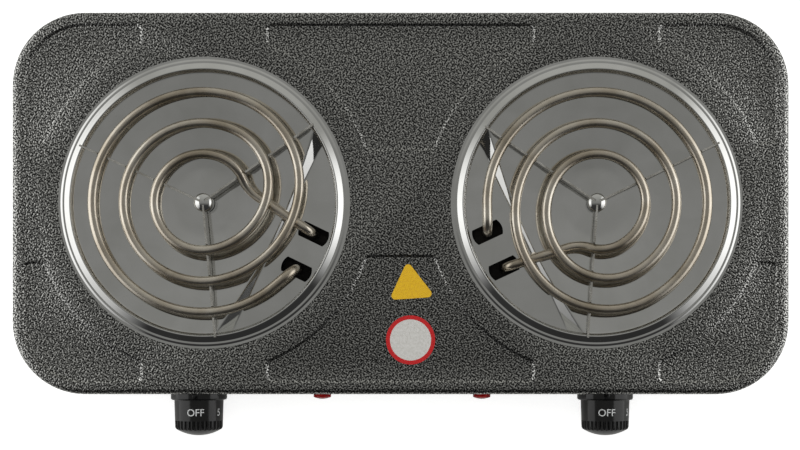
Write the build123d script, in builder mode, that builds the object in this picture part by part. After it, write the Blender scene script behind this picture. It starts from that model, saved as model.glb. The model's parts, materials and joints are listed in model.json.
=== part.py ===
from build123d import *
import math
import os

# Pressed steel housing
HOUSING_WIDTH = 480.0
HOUSING_DEPTH = 236.0
HOUSING_CORNER_R = 45.0
SKIRT_HEIGHT = 52.0
SHEET = 0.8
TOP_EDGE_R = 3.5

# Sunken panels pressed into the top
RECESS_DEPTH = 1.2
RECESS_SLOPE = 1.5
RECESS_MARGIN = 7.1
RECESS_PAN_GAP = 14.5
RECESS_TAIL_GAP = 38.0
RECESS_SIDE_GAP = 36.0
RECESS_MIDDLE_GAP = 32.0
RECESS_END_R = 4.5

# Base plate, its vents and the posts that hold it
BASE_SHEET = 1.0
BASE_RIM_HEIGHT = 6.0
BASE_CLEARANCE = 0.3
VENT_LENGTH = 44.0
VENT_WIDTH = 4.0
VENT_PITCH = 12.0
VENT_COUNT = 7
POST_R = 4.0
POST_INSET = 30.0
POST_HOLE_DEPTH = 14.0

# Rubber feet
FOOT_HEIGHT = 10.0
FOOT_TOP_R = 12.5
FOOT_BOTTOM_R = 11.0
FOOT_INSET_X = 50.0
FOOT_INSET_Y = 36.0
FOOT_RECESS_DEPTH = 4.5
FOOT_RECESS_R = 5.0
FOOT_EDGE_R = 1.0

# Screws and nuts
SCREW_R = 1.9
SCREW_HEAD_R = 3.6
SCREW_HEAD_HEIGHT = 2.4
SCREW_SLOT_WIDTH = 0.9
SCREW_SLOT_DEPTH = 1.0
NUT_ACROSS_FLATS = 7.0
NUT_HEIGHT = 3.0
THREAD_CLEARANCE = 0.05
HOLE_CLEARANCE = 0.2

# Burner places and headings, the heading being the way the coil's legs lie
BURNER_X = 121.0
BURNER_Y = 0.2
LEFT_HEADING = -25.8
RIGHT_HEADING = -155.0

# Chromed drip pan, its wall a gap away from the coil
PAN_WALL_GAP = 11.1
PAN_WALL_LEAN = 0.6
PAN_RIM_WIDTH = 7.8
PAN_LIP_WIDTH = 1.6
PAN_STEP_WIDTH = 1.2
PAN_STEP_RISE = 0.5
PAN_LEDGE_WIDTH = 1.4
PAN_CREST_RISE = 3.4
PAN_FLAT_R = 20.0
PAN_EDGE_DEPTH = 0.8
PAN_CENTRE_DEPTH = 7.6
UNDER_PAN_DEPTH = 12.0
PAN_SHEET = 0.6
PAN_LIP_BEND = 1.0
PAN_STEP_BEND = 0.5
PAN_CREST_BEND = 0.25
PAN_FLOOR_BEND = 1.0
PAN_HOLE_CLEARANCE = 1.0
PAN_SLOT_LENGTH = 16.4
PAN_SLOT_WIDTH = 9.8
PAN_SLOT_BOW = 1.5
PAN_POCKET_REACH = 26.5
PAN_POCKET_SLOPE = 5.7
PAN_POCKET_DEPTH = 6.0

# Sheathed heating coil
TUBE_R = 3.0
COIL_RISE = 7.5
COIL_OUTER_R = 67.5
COIL_PITCH = 19.0
COIL_TURNS = 3
STEP_START_ANGLE = 95.0
STEP_END_ANGLE = -55.0
LEG_SETOUT = 1.0
LEG_SPREAD = 12.2
LEG_BEND_R = 9.0
LEG_BELOW_PAN = 8.5
TAIL_ANGLE = 100.0
TAIL_LEAD = 12.0
TAIL_CORNER_ANGLE = 41.5
TAIL_CORNER_INSET = 1.5
TAIL_DROP = 8.0
TAIL_BEND_IN = 22.0
TAIL_BEND_OUT = 20.0

# Support spider under the coil
ARM_COUNT = 3
ARM_START_ANGLE = 61.0
ARM_THICKNESS = 1.2
ARM_DEPTH = 12.5
ARM_TIP_DEPTH = 7.4
ARM_INNER_R = 1.6
ARM_WALL_GAP = 2.0
ARM_TIP_OVERHANG = 1.0
ARM_SEAT_GAP = 0.1
ARM_NOTCH_CLEARANCE = 0.6
MEDALLION_R = 5.6
MEDALLION_CROWN = 1.0
MEDALLION_SHOULDER = 1.4
MEDALLION_SLOT_CLEARANCE = 0.1

# Coil ends and the bracket that grips the legs
SEAL_R = 2.6
SEAL_LENGTH = 4.0
PIN_R = 1.3
PIN_LENGTH = 7.0
TAB_WIDTH = 6.3
TAB_THICKNESS = 0.8
TAB_LENGTH = 8.0
BRACKET_SHEET = 1.2
BRACKET_BELOW_PAN = 4.0
BRACKET_REACH = 9.0
BRACKET_SIDE = 9.0
BRACKET_FOOT = 12.0
BRACKET_SCREW_SPREAD = 13.0

# Control knob, bezel and shaft
KNOB_X = 128.4
KNOB_DROP = 28.0
KNOB_REAR_R = 15.5
KNOB_FRONT_R = 14.9
KNOB_SIDE_END = 22.5
KNOB_REACH = 27.0
KNOB_WALL = 2.6
KNOB_CAVITY_DEPTH = 17.0
KNOB_EDGE_R = 2.4
KNOB_FLUTES = 30
FLUTE_R = 1.1
FLUTE_DEPTH = 1.3
FLUTE_LENGTH = 5.0
KNOB_SOCKET_R = 5.5
KNOB_RUNNING_GAP = 0.8
BEZEL_R = 17.6
BEZEL_HEIGHT = 4.5
BEZEL_WEB = 1.2
BEZEL_KNOB_GAP = 0.5
BEZEL_EDGE_R = 1.2
BEZEL_MARK_WIDTH = 2.4
BEZEL_MARK_HEIGHT = 0.3
SHAFT_R = 3.0
SHAFT_FLAT = 2.0
SHAFT_REACH = 17.0
SHAFT_RUNNING_FIT = 0.05
CLIP_THICKNESS = 0.4
CLIP_WIDTH = 3.6
CLIP_LENGTH = 8.0
CLIP_CLEARANCE = 0.03

# Thermostat behind each knob
BUSH_R = 5.0
BUSH_REACH = 6.0
BUSH_SHOULDER_R = 7.0
BUSH_SHOULDER = 2.0
BUSH_NUT_ACROSS_FLATS = 14.0
BUSH_NUT_HEIGHT = 3.0
FRAME_SHEET = 1.2
FRAME_HALF_HEIGHT = 11.5
FRAME_END = 9.0
COLLAR_R = 4.6
COLLAR_THICKNESS = 1.2
COLLAR_GAP = 0.2
STOP_INNER_R = 7.6
STOP_OUTER_R = 10.4
STOP_BEARING = -90.0
STOP_HALF_ANGLE = 14.5
STOP_REST_ANGLE = 30.0
LUG_OUTER_R = 9.6
TIP_R = 2.0
TIP_GAP = 0.2
STACK_OFFSET = 18.0
STACK_R = 5.0
STACK_SPACER = 8.0
STACK_RING = 3.0
STACK_CAP = 2.0
RIVET_R = 1.5
RIVET_HEAD_R = 3.0
RIVET_HEAD = 1.2
BLADE_THICKNESS = 0.8
BLADE_HALF_WIDTH = 3.15
BLADE_OVERREACH = 5.0
BLADE_TAB_REACH = 15.0
CONTACT_R = 1.6
CONTACT_HEIGHT = 1.2

# Indicator lamps
LAMP_X = 50.4
LAMP_HEAD_R = 5.5
LAMP_REACH = 4.0
LAMP_CROWN = 1.2
LAMP_TAIL_R = 4.0
LAMP_TAIL_LENGTH = 14.0
LAMP_BORE_R = 2.9
LAMP_BORE_END = 1.0
LAMP_CLEARANCE = 0.1
BULB_R = 2.6
BULB_GAP = 0.3
LAMP_CLIP_R = 7.0
LAMP_CLIP_SHEET = 0.6

# Mains inlet, terminal block and earth stud
GLAND_DROP = 32.0
GLAND_BORE_R = 3.6
GLAND_NECK_R = 6.0
GLAND_FLANGE_R = 9.0
GLAND_REACH = 3.0
GLAND_INNER_FLANGE = 4.0
GLAND_CLEARANCE = 0.1
BLOCK_WIDTH = 44.0
BLOCK_DEPTH = 18.0
BLOCK_HEIGHT = 15.0
BLOCK_FROM_REAR = 30.0
BLOCK_EDGE_R = 1.5
BLOCK_POLES = 3
BLOCK_POLE_PITCH = 14.0
BLOCK_SCREW_R = 2.4
BLOCK_SCREW_HEIGHT = 3.0
BLOCK_ENTRY_HEIGHT = 6.0
EARTH_X = 40.0
EARTH_STUD_R = 2.0
EARTH_STUD_HEIGHT = 9.0
EARTH_LUG_R = 4.5
EARTH_LUG_SHEET = 1.0
EARTH_TAIL_LENGTH = 10.0
EARTH_BARREL_LENGTH = 5.0

# Internal wires and push-on connectors
WIRE_R = 1.3
LEAD_R = 0.8
WIRE_SPACING = 3.2
CONNECTOR_WIDTH = 8.0
CONNECTOR_THICKNESS = 3.0
CONNECTOR_LENGTH = 9.0
CONNECTOR_CLEARANCE = 0.05
CONNECTOR_WIRE_OFFSET = 1.6
CONNECTOR_LEAD_OFFSET = 2.4
WIRE_RUN_HEIGHT = 13.5
LEAD_RUN_HEIGHT = 19.5
RADIUS_SHARE = 0.45
SHORTEST_RUN = 0.001

# Sampling of the coil's centre line
COIL_SAMPLES = 900
COIL_SKIP_LENGTH = 15.0

# Levels and places worked out from the sizes above
BASE_Z = FOOT_HEIGHT
BASE_TOP_Z = BASE_Z + BASE_SHEET
TOP_Z = BASE_Z + SKIRT_HEIGHT
HOUSING_Y = (KNOB_REACH - GLAND_REACH) / 2
FRONT_Y = HOUSING_Y - HOUSING_DEPTH / 2
REAR_Y = HOUSING_Y + HOUSING_DEPTH / 2
INNER_FRONT_Y = FRONT_Y + SHEET
KNOB_Z = TOP_Z - KNOB_DROP
COIL_Z = TOP_Z + COIL_RISE
LEG_X = COIL_OUTER_R + LEG_SETOUT
PAN_FLOOR_R = COIL_OUTER_R + TUBE_R + PAN_WALL_GAP
PAN_CREST_R = PAN_FLOOR_R + PAN_WALL_LEAN
PAN_LIP_R = PAN_CREST_R + PAN_RIM_WIDTH
PAN_POCKET_X = LEG_X - PAN_POCKET_REACH
PAN_UNDER_Z = TOP_Z - UNDER_PAN_DEPTH
LEG_END_Z = PAN_UNDER_Z - LEG_BELOW_PAN
PIN_END_Z = LEG_END_Z - PIN_LENGTH
CONNECTOR_END_Z = PIN_END_Z - CONNECTOR_LENGTH
BRACKET_Z = PAN_UNDER_Z - BRACKET_BELOW_PAN - BRACKET_SHEET
POST_X = HOUSING_WIDTH / 2 - POST_INSET
POST_Y = HOUSING_DEPTH / 2 - POST_INSET
FOOT_X = HOUSING_WIDTH / 2 - FOOT_INSET_X
FOOT_Y = HOUSING_DEPTH / 2 - FOOT_INSET_Y
BLOCK_Y = HOUSING_Y + HOUSING_DEPTH / 2 - BLOCK_FROM_REAR - BLOCK_DEPTH / 2
BLOCK_FRONT_Y = BLOCK_Y - BLOCK_DEPTH / 2
SHOULDER_DEPTH = FRAME_SHEET + BUSH_SHOULDER
COLLAR_DEPTH = SHOULDER_DEPTH + COLLAR_GAP
SPRING_BLADE_DEPTH = FRAME_SHEET + STACK_SPACER
FIXED_BLADE_DEPTH = SPRING_BLADE_DEPTH + BLADE_THICKNESS + STACK_RING
BIMETAL_DEPTH = FIXED_BLADE_DEPTH + BLADE_THICKNESS + STACK_RING
STACK_END_DEPTH = BIMETAL_DEPTH + BLADE_THICKNESS + STACK_CAP
BLADE_END = STACK_OFFSET + BLADE_TAB_REACH
CONNECTOR_FACE = BLADE_END - TAB_LENGTH + CONNECTOR_LENGTH


class Burner:
    """One cooking position: its name, side, centre and the heading of its coil's legs."""

    def __init__(self, name, side, heading):
        self.name = name
        self.side = side
        self.inward = -side
        self.heading = heading
        self.x = side * BURNER_X
        self.y = HOUSING_Y + BURNER_Y
        self.knob_x = side * KNOB_X
        self.lamp_x = side * LAMP_X

    def level(self, z):
        """Plane at height z whose X axis is the heading of the coil's legs."""
        angle = math.radians(self.heading)
        return Plane((self.x, self.y, z), x_dir=(math.cos(angle), math.sin(angle), 0))

    def section(self, bearing=0.0):
        """Upright plane through the burner's axis, at plate height, X outward and Y up."""
        angle = math.radians(self.heading + bearing)
        outward = (math.cos(angle), math.sin(angle), 0)
        return Plane((self.x, self.y, TOP_Z), x_dir=outward, z_dir=(math.sin(angle), -math.cos(angle), 0))

    def axis(self):
        """The burner's upright axis."""
        return Axis((self.x, self.y, 0), (0, 0, 1))

    def front(self, depth=0.0, x=None):
        """Plane on the front wall: X right, Y up, Z out to the front; depth is from the inner face in."""
        place = (self.knob_x if x is None else x, INNER_FRONT_Y + depth, KNOB_Z)
        return Plane(place, x_dir=(1, 0, 0), z_dir=(0, -1, 0))

    def control_section(self, x=None):
        """Flat plane through the control's axis: X across, Y out to the front from the wall's face."""
        return Plane((self.knob_x if x is None else x, FRONT_Y, KNOB_Z), x_dir=(1, 0, 0), z_dir=(0, 0, -1))

    def control_axis(self, x=None):
        """Axis of the knob, or of the lamp when its x is given."""
        return Axis((self.knob_x if x is None else x, FRONT_Y, KNOB_Z), (0, -1, 0))

    def legs(self, outward=0.0):
        """Places of the coil's two legs on the floor plan, moved apart by outward, the front one first."""
        plane = self.level(0)
        ends = [plane.from_local_coords((LEG_X, side * (LEG_SPREAD + outward), 0)) for side in (-1, 1)]
        return sorted(ends, key=lambda end: end.Y)


LEFT = Burner("left", -1, LEFT_HEADING)
RIGHT = Burner("right", 1, RIGHT_HEADING)
BURNERS = (LEFT, RIGHT)


def level(z):
    """Plane at height z, centred on the housing."""
    return Plane((0, HOUSING_Y, z))


def save(builder, name):
    """Label a finished piece and write it to its own file."""
    builder.part.label = name
    export_step(builder.part, f"parts/{name}.step")


def corner_places(x, y):
    """The four places at plus and minus x and y."""
    return [(i * x, j * y) for i in (-1, 1) for j in (-1, 1)]


def turn_radius(turn):
    """Radius of one turn of the coil, counted from the outside."""
    return COIL_OUTER_R - turn * COIL_PITCH


def polar(radius, angle):
    """Point at a radius and an angle in degrees."""
    return (radius * math.cos(math.radians(angle)), radius * math.sin(math.radians(angle)))


def clockwise(angle):
    """Direction of travel of a clockwise turn at an angle in degrees."""
    return (math.sin(math.radians(angle)), -math.cos(math.radians(angle)))


def recess_outline(margin):
    """Sketch of the six sunken panels, each edge moved in by a margin."""
    RectangleRounded(
        HOUSING_WIDTH - 2 * (RECESS_MARGIN + margin),
        HOUSING_DEPTH - 2 * (RECESS_MARGIN + margin),
        HOUSING_CORNER_R - RECESS_MARGIN - margin,
    )
    for side in (-1, 1):
        with Locations((side * BURNER_X, BURNER_Y)):
            Circle(PAN_LIP_R + RECESS_PAN_GAP + margin, mode=Mode.SUBTRACT)
            Rectangle(2 * (RECESS_TAIL_GAP + margin), 2 * HOUSING_DEPTH, mode=Mode.SUBTRACT)
        with Locations((side * HOUSING_WIDTH / 2, BURNER_Y)):
            Rectangle(HOUSING_WIDTH / 2, 2 * (RECESS_SIDE_GAP + margin), mode=Mode.SUBTRACT)
    with Locations((0, BURNER_Y)):
        Rectangle(2 * BURNER_X, 2 * (RECESS_MIDDLE_GAP + margin), mode=Mode.SUBTRACT)
    rounding = RECESS_END_R - margin / 2
    offset(amount=-rounding, kind=Kind.INTERSECTION)
    offset(amount=rounding, kind=Kind.ARC)


def make_top_housing():
    """Deep pressed cover with sunken panels, pan openings and wall holes."""
    slope_angle = math.degrees(math.atan2(RECESS_SLOPE, RECESS_DEPTH))
    bend_shift = SHEET * math.tan(math.radians((90 - slope_angle) / 2))
    with BuildPart() as cavity:
        with BuildSketch(level(BASE_Z)):
            RectangleRounded(HOUSING_WIDTH - 2 * SHEET, HOUSING_DEPTH - 2 * SHEET, HOUSING_CORNER_R - SHEET)
        extrude(amount=SKIRT_HEIGHT - SHEET)
        fillet(cavity.edges().group_by(Axis.Z)[-1], TOP_EDGE_R - SHEET)
        with BuildSketch(level(TOP_Z - SHEET)):
            recess_outline(-bend_shift)
        extrude(amount=-RECESS_DEPTH, taper=slope_angle, mode=Mode.SUBTRACT)
    with BuildPart() as housing:
        with BuildSketch(level(BASE_Z)):
            RectangleRounded(HOUSING_WIDTH, HOUSING_DEPTH, HOUSING_CORNER_R)
        extrude(amount=SKIRT_HEIGHT)
        fillet(housing.edges().group_by(Axis.Z)[-1], TOP_EDGE_R)
        with BuildSketch(level(TOP_Z)):
            recess_outline(0)
        extrude(amount=-RECESS_DEPTH, taper=slope_angle, mode=Mode.SUBTRACT)
        add(cavity.part, mode=Mode.SUBTRACT)
        with BuildSketch(level(TOP_Z)):
            with Locations(*[(burner.x, BURNER_Y) for burner in BURNERS]):
                Circle(PAN_CREST_R + PAN_HOLE_CLEARANCE)
        extrude(amount=-SKIRT_HEIGHT / 2, mode=Mode.SUBTRACT)
        for burner in BURNERS:
            with BuildSketch(burner.front()):
                Circle(BUSH_R + THREAD_CLEARANCE)
            with BuildSketch(burner.front(x=burner.lamp_x)):
                Circle(LAMP_TAIL_R + LAMP_CLEARANCE)
        extrude(amount=2 * SHEET, both=True, mode=Mode.SUBTRACT)
        with BuildSketch(gland_plane()):
            Circle(GLAND_NECK_R + GLAND_CLEARANCE)
        extrude(amount=2 * SHEET, both=True, mode=Mode.SUBTRACT)
    save(housing, "top_housing")


def gland_plane():
    """Plane on the rear wall's outer face at the mains inlet, Z out to the back."""
    return Plane((0, REAR_Y, TOP_Z - GLAND_DROP), x_dir=(-1, 0, 0), z_dir=(0, 1, 0))


def bracket_screw_places():
    """Places of the two screws in a leg bracket's foot, in the burner's own directions."""
    return [(LEG_X + BRACKET_REACH + BRACKET_FOOT / 2, side * BRACKET_SCREW_SPREAD) for side in (-1, 1)]


def make_base_plate():
    """Flat tray that closes the housing, with vents under each burner."""
    inset = SHEET + BASE_CLEARANCE
    width = HOUSING_WIDTH - 2 * inset
    depth = HOUSING_DEPTH - 2 * inset
    corner = HOUSING_CORNER_R - inset
    with BuildPart() as base_plate:
        with BuildSketch(level(BASE_Z)):
            RectangleRounded(width, depth, corner)
        extrude(amount=BASE_SHEET)
        with BuildSketch(level(BASE_Z)):
            RectangleRounded(width, depth, corner)
            offset(amount=-BASE_SHEET, mode=Mode.SUBTRACT)
        extrude(amount=BASE_RIM_HEIGHT)
        with BuildSketch(level(BASE_Z)):
            with Locations(*corner_places(POST_X, POST_Y), *corner_places(FOOT_X, FOOT_Y)):
                Circle(SCREW_R + HOLE_CLEARANCE)
            with Locations((EARTH_X, BLOCK_Y - HOUSING_Y)):
                Circle(EARTH_STUD_R + THREAD_CLEARANCE)
            for side in (-1, 1):
                with Locations((side * BURNER_X, BURNER_Y)):
                    with GridLocations(VENT_PITCH, 0, VENT_COUNT, 1):
                        SlotOverall(VENT_LENGTH, VENT_WIDTH, rotation=90)
        extrude(amount=BASE_SHEET, mode=Mode.SUBTRACT)
        for burner in BURNERS:
            with BuildSketch(burner.level(BASE_Z)):
                with Locations(*bracket_screw_places()):
                    Circle(SCREW_R + HOLE_CLEARANCE)
        extrude(amount=BASE_SHEET, mode=Mode.SUBTRACT)
    save(base_plate, "base_plate")


def make_posts():
    """Tapped posts between the base plate and the sunken corner panels."""
    top = TOP_Z - SHEET - RECESS_DEPTH
    with BuildPart() as posts:
        with BuildSketch(level(BASE_TOP_Z)):
            with Locations(*corner_places(POST_X, POST_Y)):
                Circle(POST_R)
        extrude(amount=top - BASE_TOP_Z)
        with BuildSketch(level(BASE_TOP_Z)):
            with Locations(*corner_places(POST_X, POST_Y)):
                Circle(SCREW_R + THREAD_CLEARANCE)
        extrude(amount=POST_HOLE_DEPTH, mode=Mode.SUBTRACT)
    save(posts, "housing_posts")


def slotted_screws(head_plane, places, shank_length):
    """Slotted screws driven upward, heads hanging below a plane."""
    with BuildPart() as screws:
        with BuildSketch(head_plane):
            with Locations(*places):
                Circle(SCREW_HEAD_R)
        extrude(amount=-SCREW_HEAD_HEIGHT)
        fillet(screws.edges().group_by(Axis.Z)[0], SCREW_HEAD_HEIGHT / 3)
        with BuildSketch(head_plane.offset(-SCREW_HEAD_HEIGHT)):
            with Locations(*places):
                Rectangle(2 * SCREW_HEAD_R, SCREW_SLOT_WIDTH)
        extrude(amount=SCREW_SLOT_DEPTH, mode=Mode.SUBTRACT)
        with BuildSketch(head_plane):
            with Locations(*places):
                Circle(SCREW_R)
        extrude(amount=shank_length)
    return screws


def make_feet():
    """Rubber feet with their screws and nuts."""
    names = {(-1, -1): "front_left", (1, -1): "front_right", (-1, 1): "rear_left", (1, 1): "rear_right"}
    for (i, j), name in names.items():
        place = (i * FOOT_X, HOUSING_Y + j * FOOT_Y)
        with BuildPart() as foot:
            with BuildSketch(Plane((*place, 0))):
                Circle(FOOT_BOTTOM_R)
            with BuildSketch(Plane((*place, FOOT_HEIGHT))):
                Circle(FOOT_TOP_R)
            loft()
            fillet(foot.edges().group_by(Axis.Z)[0], FOOT_EDGE_R)
            with BuildSketch(Plane((*place, 0))):
                Circle(SCREW_R + HOLE_CLEARANCE)
            extrude(amount=FOOT_HEIGHT, mode=Mode.SUBTRACT)
            with BuildSketch(Plane((*place, 0))):
                Circle(FOOT_RECESS_R)
            extrude(amount=FOOT_RECESS_DEPTH, mode=Mode.SUBTRACT)
        save(foot, f"foot_{name}")
    places = corner_places(FOOT_X, FOOT_Y)
    shank = FOOT_HEIGHT - FOOT_RECESS_DEPTH + BASE_SHEET + NUT_HEIGHT + SCREW_R / 2
    save(slotted_screws(level(FOOT_RECESS_DEPTH), places, shank), "foot_screws")
    with BuildPart() as nuts:
        with BuildSketch(level(BASE_TOP_Z)):
            with Locations(*places):
                RegularPolygon(NUT_ACROSS_FLATS / 2, 6, major_radius=False)
                Circle(SCREW_R + THREAD_CLEARANCE, mode=Mode.SUBTRACT)
        extrude(amount=NUT_HEIGHT)
    save(nuts, "foot_nuts")


def make_base_screws():
    """Screws that draw the base plate up to its posts."""
    shank = BASE_SHEET + POST_HOLE_DEPTH - SCREW_R
    save(slotted_screws(level(BASE_Z), corner_places(POST_X, POST_Y), shank), "base_screws")


def pocket_space(burner, inset):
    """Flat-floored pocket towards the coil's legs, drawn in from its outside by an inset."""
    with BuildPart() as pocket:
        with BuildSketch(burner.section()):
            with BuildLine():
                Polyline(
                    (PAN_POCKET_X, PAN_CREST_RISE),
                    (PAN_POCKET_X, -PAN_EDGE_DEPTH),
                    (PAN_POCKET_X + PAN_POCKET_SLOPE, -PAN_POCKET_DEPTH),
                    (PAN_LIP_R, -PAN_POCKET_DEPTH),
                    (PAN_LIP_R, PAN_CREST_RISE),
                    close=True,
                )
            make_face()
            if inset:
                offset(amount=-inset, kind=Kind.INTERSECTION, mode=Mode.REPLACE)
        extrude(amount=PAN_LIP_R, both=True)
        with BuildSketch(burner.level(TOP_Z)):
            Circle(PAN_FLOOR_R - inset)
        extrude(amount=PAN_LIP_R, both=True, mode=Mode.INTERSECT)
    return pocket.part


def slot_outline(x, y):
    """Long slot about a point: straight sides and bowed ends."""
    near = x - PAN_SLOT_LENGTH / 2
    far = x + PAN_SLOT_LENGTH / 2
    low = y - PAN_SLOT_WIDTH / 2
    high = y + PAN_SLOT_WIDTH / 2
    Line((near, low), (far, low))
    ThreePointArc((far, low), (far + PAN_SLOT_BOW, y), (far, high))
    Line((far, high), (near, high))
    ThreePointArc((near, high), (near - PAN_SLOT_BOW, y), (near, low))


def make_drip_pan(burner):
    """Chromed pan: flat lip, stepped rim, low wall, dished floor and a pocket with two leg slots."""
    step = PAN_LIP_R - PAN_LIP_WIDTH
    floor_bend = PAN_FLOOR_BEND + PAN_SHEET
    with BuildPart() as sheet:
        with BuildSketch(burner.section()):
            with BuildLine():
                under = FilletPolyline(
                    (PAN_LIP_R, 0),
                    (step, 0),
                    (step - PAN_STEP_WIDTH, PAN_STEP_RISE),
                    (step - PAN_STEP_WIDTH - PAN_LEDGE_WIDTH, PAN_STEP_RISE),
                    (PAN_CREST_R, PAN_CREST_RISE),
                    (PAN_FLOOR_R, -PAN_EDGE_DEPTH),
                    (PAN_FLAT_R, -PAN_CENTRE_DEPTH),
                    (0, -PAN_CENTRE_DEPTH),
                    radius=(
                        PAN_LIP_BEND,
                        PAN_STEP_BEND,
                        PAN_LIP_BEND,
                        PAN_CREST_BEND,
                        floor_bend,
                        PAN_FLAT_R,
                    ),
                )
                offset(under, amount=PAN_SHEET, side=Side.RIGHT, kind=Kind.INTERSECTION)
            make_face()
        revolve(axis=burner.axis())
    with BuildPart() as above:
        with BuildSketch(burner.section()):
            with BuildLine():
                FilletPolyline(
                    (PAN_CREST_R, PAN_CREST_RISE),
                    (PAN_FLOOR_R, -PAN_EDGE_DEPTH),
                    (PAN_FLAT_R, -PAN_CENTRE_DEPTH),
                    (0, -PAN_CENTRE_DEPTH),
                    radius=(floor_bend, PAN_FLAT_R),
                )
                Polyline((0, -PAN_CENTRE_DEPTH), (0, PAN_CREST_RISE), (PAN_CREST_R, PAN_CREST_RISE))
            make_face()
        revolve(axis=burner.axis())
        add(sheet.part, mode=Mode.SUBTRACT)
    with BuildPart() as round_floor:
        add(sheet.part)
        add(pocket_space(burner, 0), mode=Mode.SUBTRACT)
    with BuildPart() as pan:
        add(pocket_space(burner, 0))
        add(pocket_space(burner, PAN_SHEET), mode=Mode.SUBTRACT)
        add(above.part, mode=Mode.SUBTRACT)
        add(round_floor.part)
        with BuildSketch(burner.level(TOP_Z - PAN_EDGE_DEPTH)):
            for side in (-1, 1):
                with BuildLine():
                    slot_outline(LEG_X, side * LEG_SPREAD)
                make_face()
        extrude(amount=-2 * PAN_CENTRE_DEPTH, mode=Mode.SUBTRACT)
    save(pan, f"{burner.name}_drip_pan")


def bent_line(points, radii):
    """Straight runs joined by tangent arcs, one radius for each corner."""
    corners = [Vector(*point) for point in points]
    start = corners[0]
    for before, corner, after, radius in zip(corners, corners[1:], corners[2:], radii):
        way_in = (corner - before).normalized()
        way_out = (after - corner).normalized()
        half_turn = math.radians(way_in.get_angle(way_out)) / 2
        inside = (way_out - way_in).normalized()
        bend_start = corner - way_in * radius * math.tan(half_turn)
        bend_middle = corner + inside * radius * (1 / math.cos(half_turn) - 1)
        bend_end = corner + way_out * radius * math.tan(half_turn)
        if (bend_start - start).length > SHORTEST_RUN:
            Line(tuple(start), tuple(bend_start))
        ThreePointArc(tuple(bend_start), tuple(bend_middle), tuple(bend_end))
        start = bend_end
    if (corners[-1] - start).length > SHORTEST_RUN:
        Line(tuple(start), tuple(corners[-1]))


def biarc(start, start_way, end, end_way):
    """Two tangent arcs from one point and direction to another."""
    begin = Vector(*start)
    finish = Vector(*end)
    way_in = Vector(*start_way)
    way_out = Vector(*end_way)
    span = finish - begin
    along = span.dot(way_in + way_out)
    spread = 2 * (1 - way_in.dot(way_out))
    reach = (math.sqrt(along * along + spread * span.dot(span)) - along) / spread
    corners = (begin + way_in * reach, finish - way_out * reach)
    middle_way = corners[1] - corners[0]
    radii = [reach / math.tan(math.radians(way.get_angle(middle_way)) / 2) for way in (way_in, way_out)]
    bent_line((begin, *corners, finish), radii)


def coil_path(burner):
    """Centre line of the coil: outer leg, three turns stepping inward and the leg that dives under them."""
    leg_r = math.hypot(LEG_X, LEG_SPREAD)
    leg_angle = math.degrees(math.atan2(LEG_SPREAD, LEG_X))
    first_angle = -leg_angle - math.degrees(math.acos(COIL_OUTER_R / leg_r))
    inner_r = turn_radius(COIL_TURNS - 1)
    leg_end = LEG_END_Z - COIL_Z
    tail_start = Vector(*polar(inner_r, TAIL_ANGLE))
    tail_lead = tail_start + Vector(*clockwise(TAIL_ANGLE)) * TAIL_LEAD
    tail_corner = Vector(*polar(inner_r - TAIL_CORNER_INSET, TAIL_CORNER_ANGLE), -TAIL_DROP)
    with BuildLine(burner.level(COIL_Z)) as path:
        outer_leg = (
            (LEG_X, -LEG_SPREAD, leg_end),
            (LEG_X, -LEG_SPREAD, 0),
            (*polar(COIL_OUTER_R, first_angle), 0),
        )
        bent_line(outer_leg, (LEG_BEND_R,))
        start_angle = first_angle
        for turn in range(COIL_TURNS):
            last = turn == COIL_TURNS - 1
            end_angle = TAIL_ANGLE if last else STEP_START_ANGLE
            CenterArc((0, 0), turn_radius(turn), start_angle, end_angle - start_angle - 360)
            start_angle = STEP_END_ANGLE
            if not last:
                biarc(
                    polar(turn_radius(turn), STEP_START_ANGLE),
                    clockwise(STEP_START_ANGLE),
                    polar(turn_radius(turn + 1), STEP_END_ANGLE),
                    clockwise(STEP_END_ANGLE),
                )
        inner_leg = (
            tail_start,
            tail_lead,
            tail_corner,
            (LEG_X, LEG_SPREAD, -TAIL_DROP),
            (LEG_X, LEG_SPREAD, leg_end),
        )
        bent_line(inner_leg, (TAIL_BEND_IN, TAIL_BEND_OUT, LEG_BEND_R))
    return path.wire()


def coil_samples(burner, wire):
    """Evenly spaced points on the centre line, in the burner's own directions at coil height."""
    plane = burner.level(COIL_Z)
    return [plane.to_local_coords(wire @ (i / COIL_SAMPLES)) for i in range(COIL_SAMPLES + 1)]


def least_gap(wire, samples):
    """Least clear distance between one stretch of the tube and another."""
    skip = math.ceil(COIL_SKIP_LENGTH * COIL_SAMPLES / wire.length)
    nearest = min(
        (samples[i] - samples[j]).length for i in range(len(samples)) for j in range(i + skip, len(samples))
    )
    return nearest - 2 * TUBE_R


def make_coil(burner, wire):
    """The heating tube, one unbroken sweep."""
    with BuildPart() as coil:
        with BuildSketch(burner.level(LEG_END_Z)):
            with Locations((LEG_X, -LEG_SPREAD)):
                Circle(TUBE_R)
        sweep(path=wire)
    expected = math.pi * TUBE_R**2 * wire.length
    print(f"{burner.name} coil: length {wire.length:.1f} mm, volume share {coil.part.volume / expected:.4f}")
    save(coil, f"{burner.name}_coil")


def arm_crossings(samples, bearing):
    """Radius and height of each place where the tube crosses above an arm's bearing."""
    ux, uy = polar(1, bearing)
    found = []
    for a, b in zip(samples, samples[1:]):
        side_a = ux * a.Y - uy * a.X
        side_b = ux * b.Y - uy * b.X
        if side_a * side_b <= 0 and ux * a.X + uy * a.Y > 0:
            share = side_a / (side_a - side_b)
            cross = a + (b - a) * share
            found.append((math.hypot(cross.X, cross.Y), cross.Z + COIL_RISE))
    return found


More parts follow.
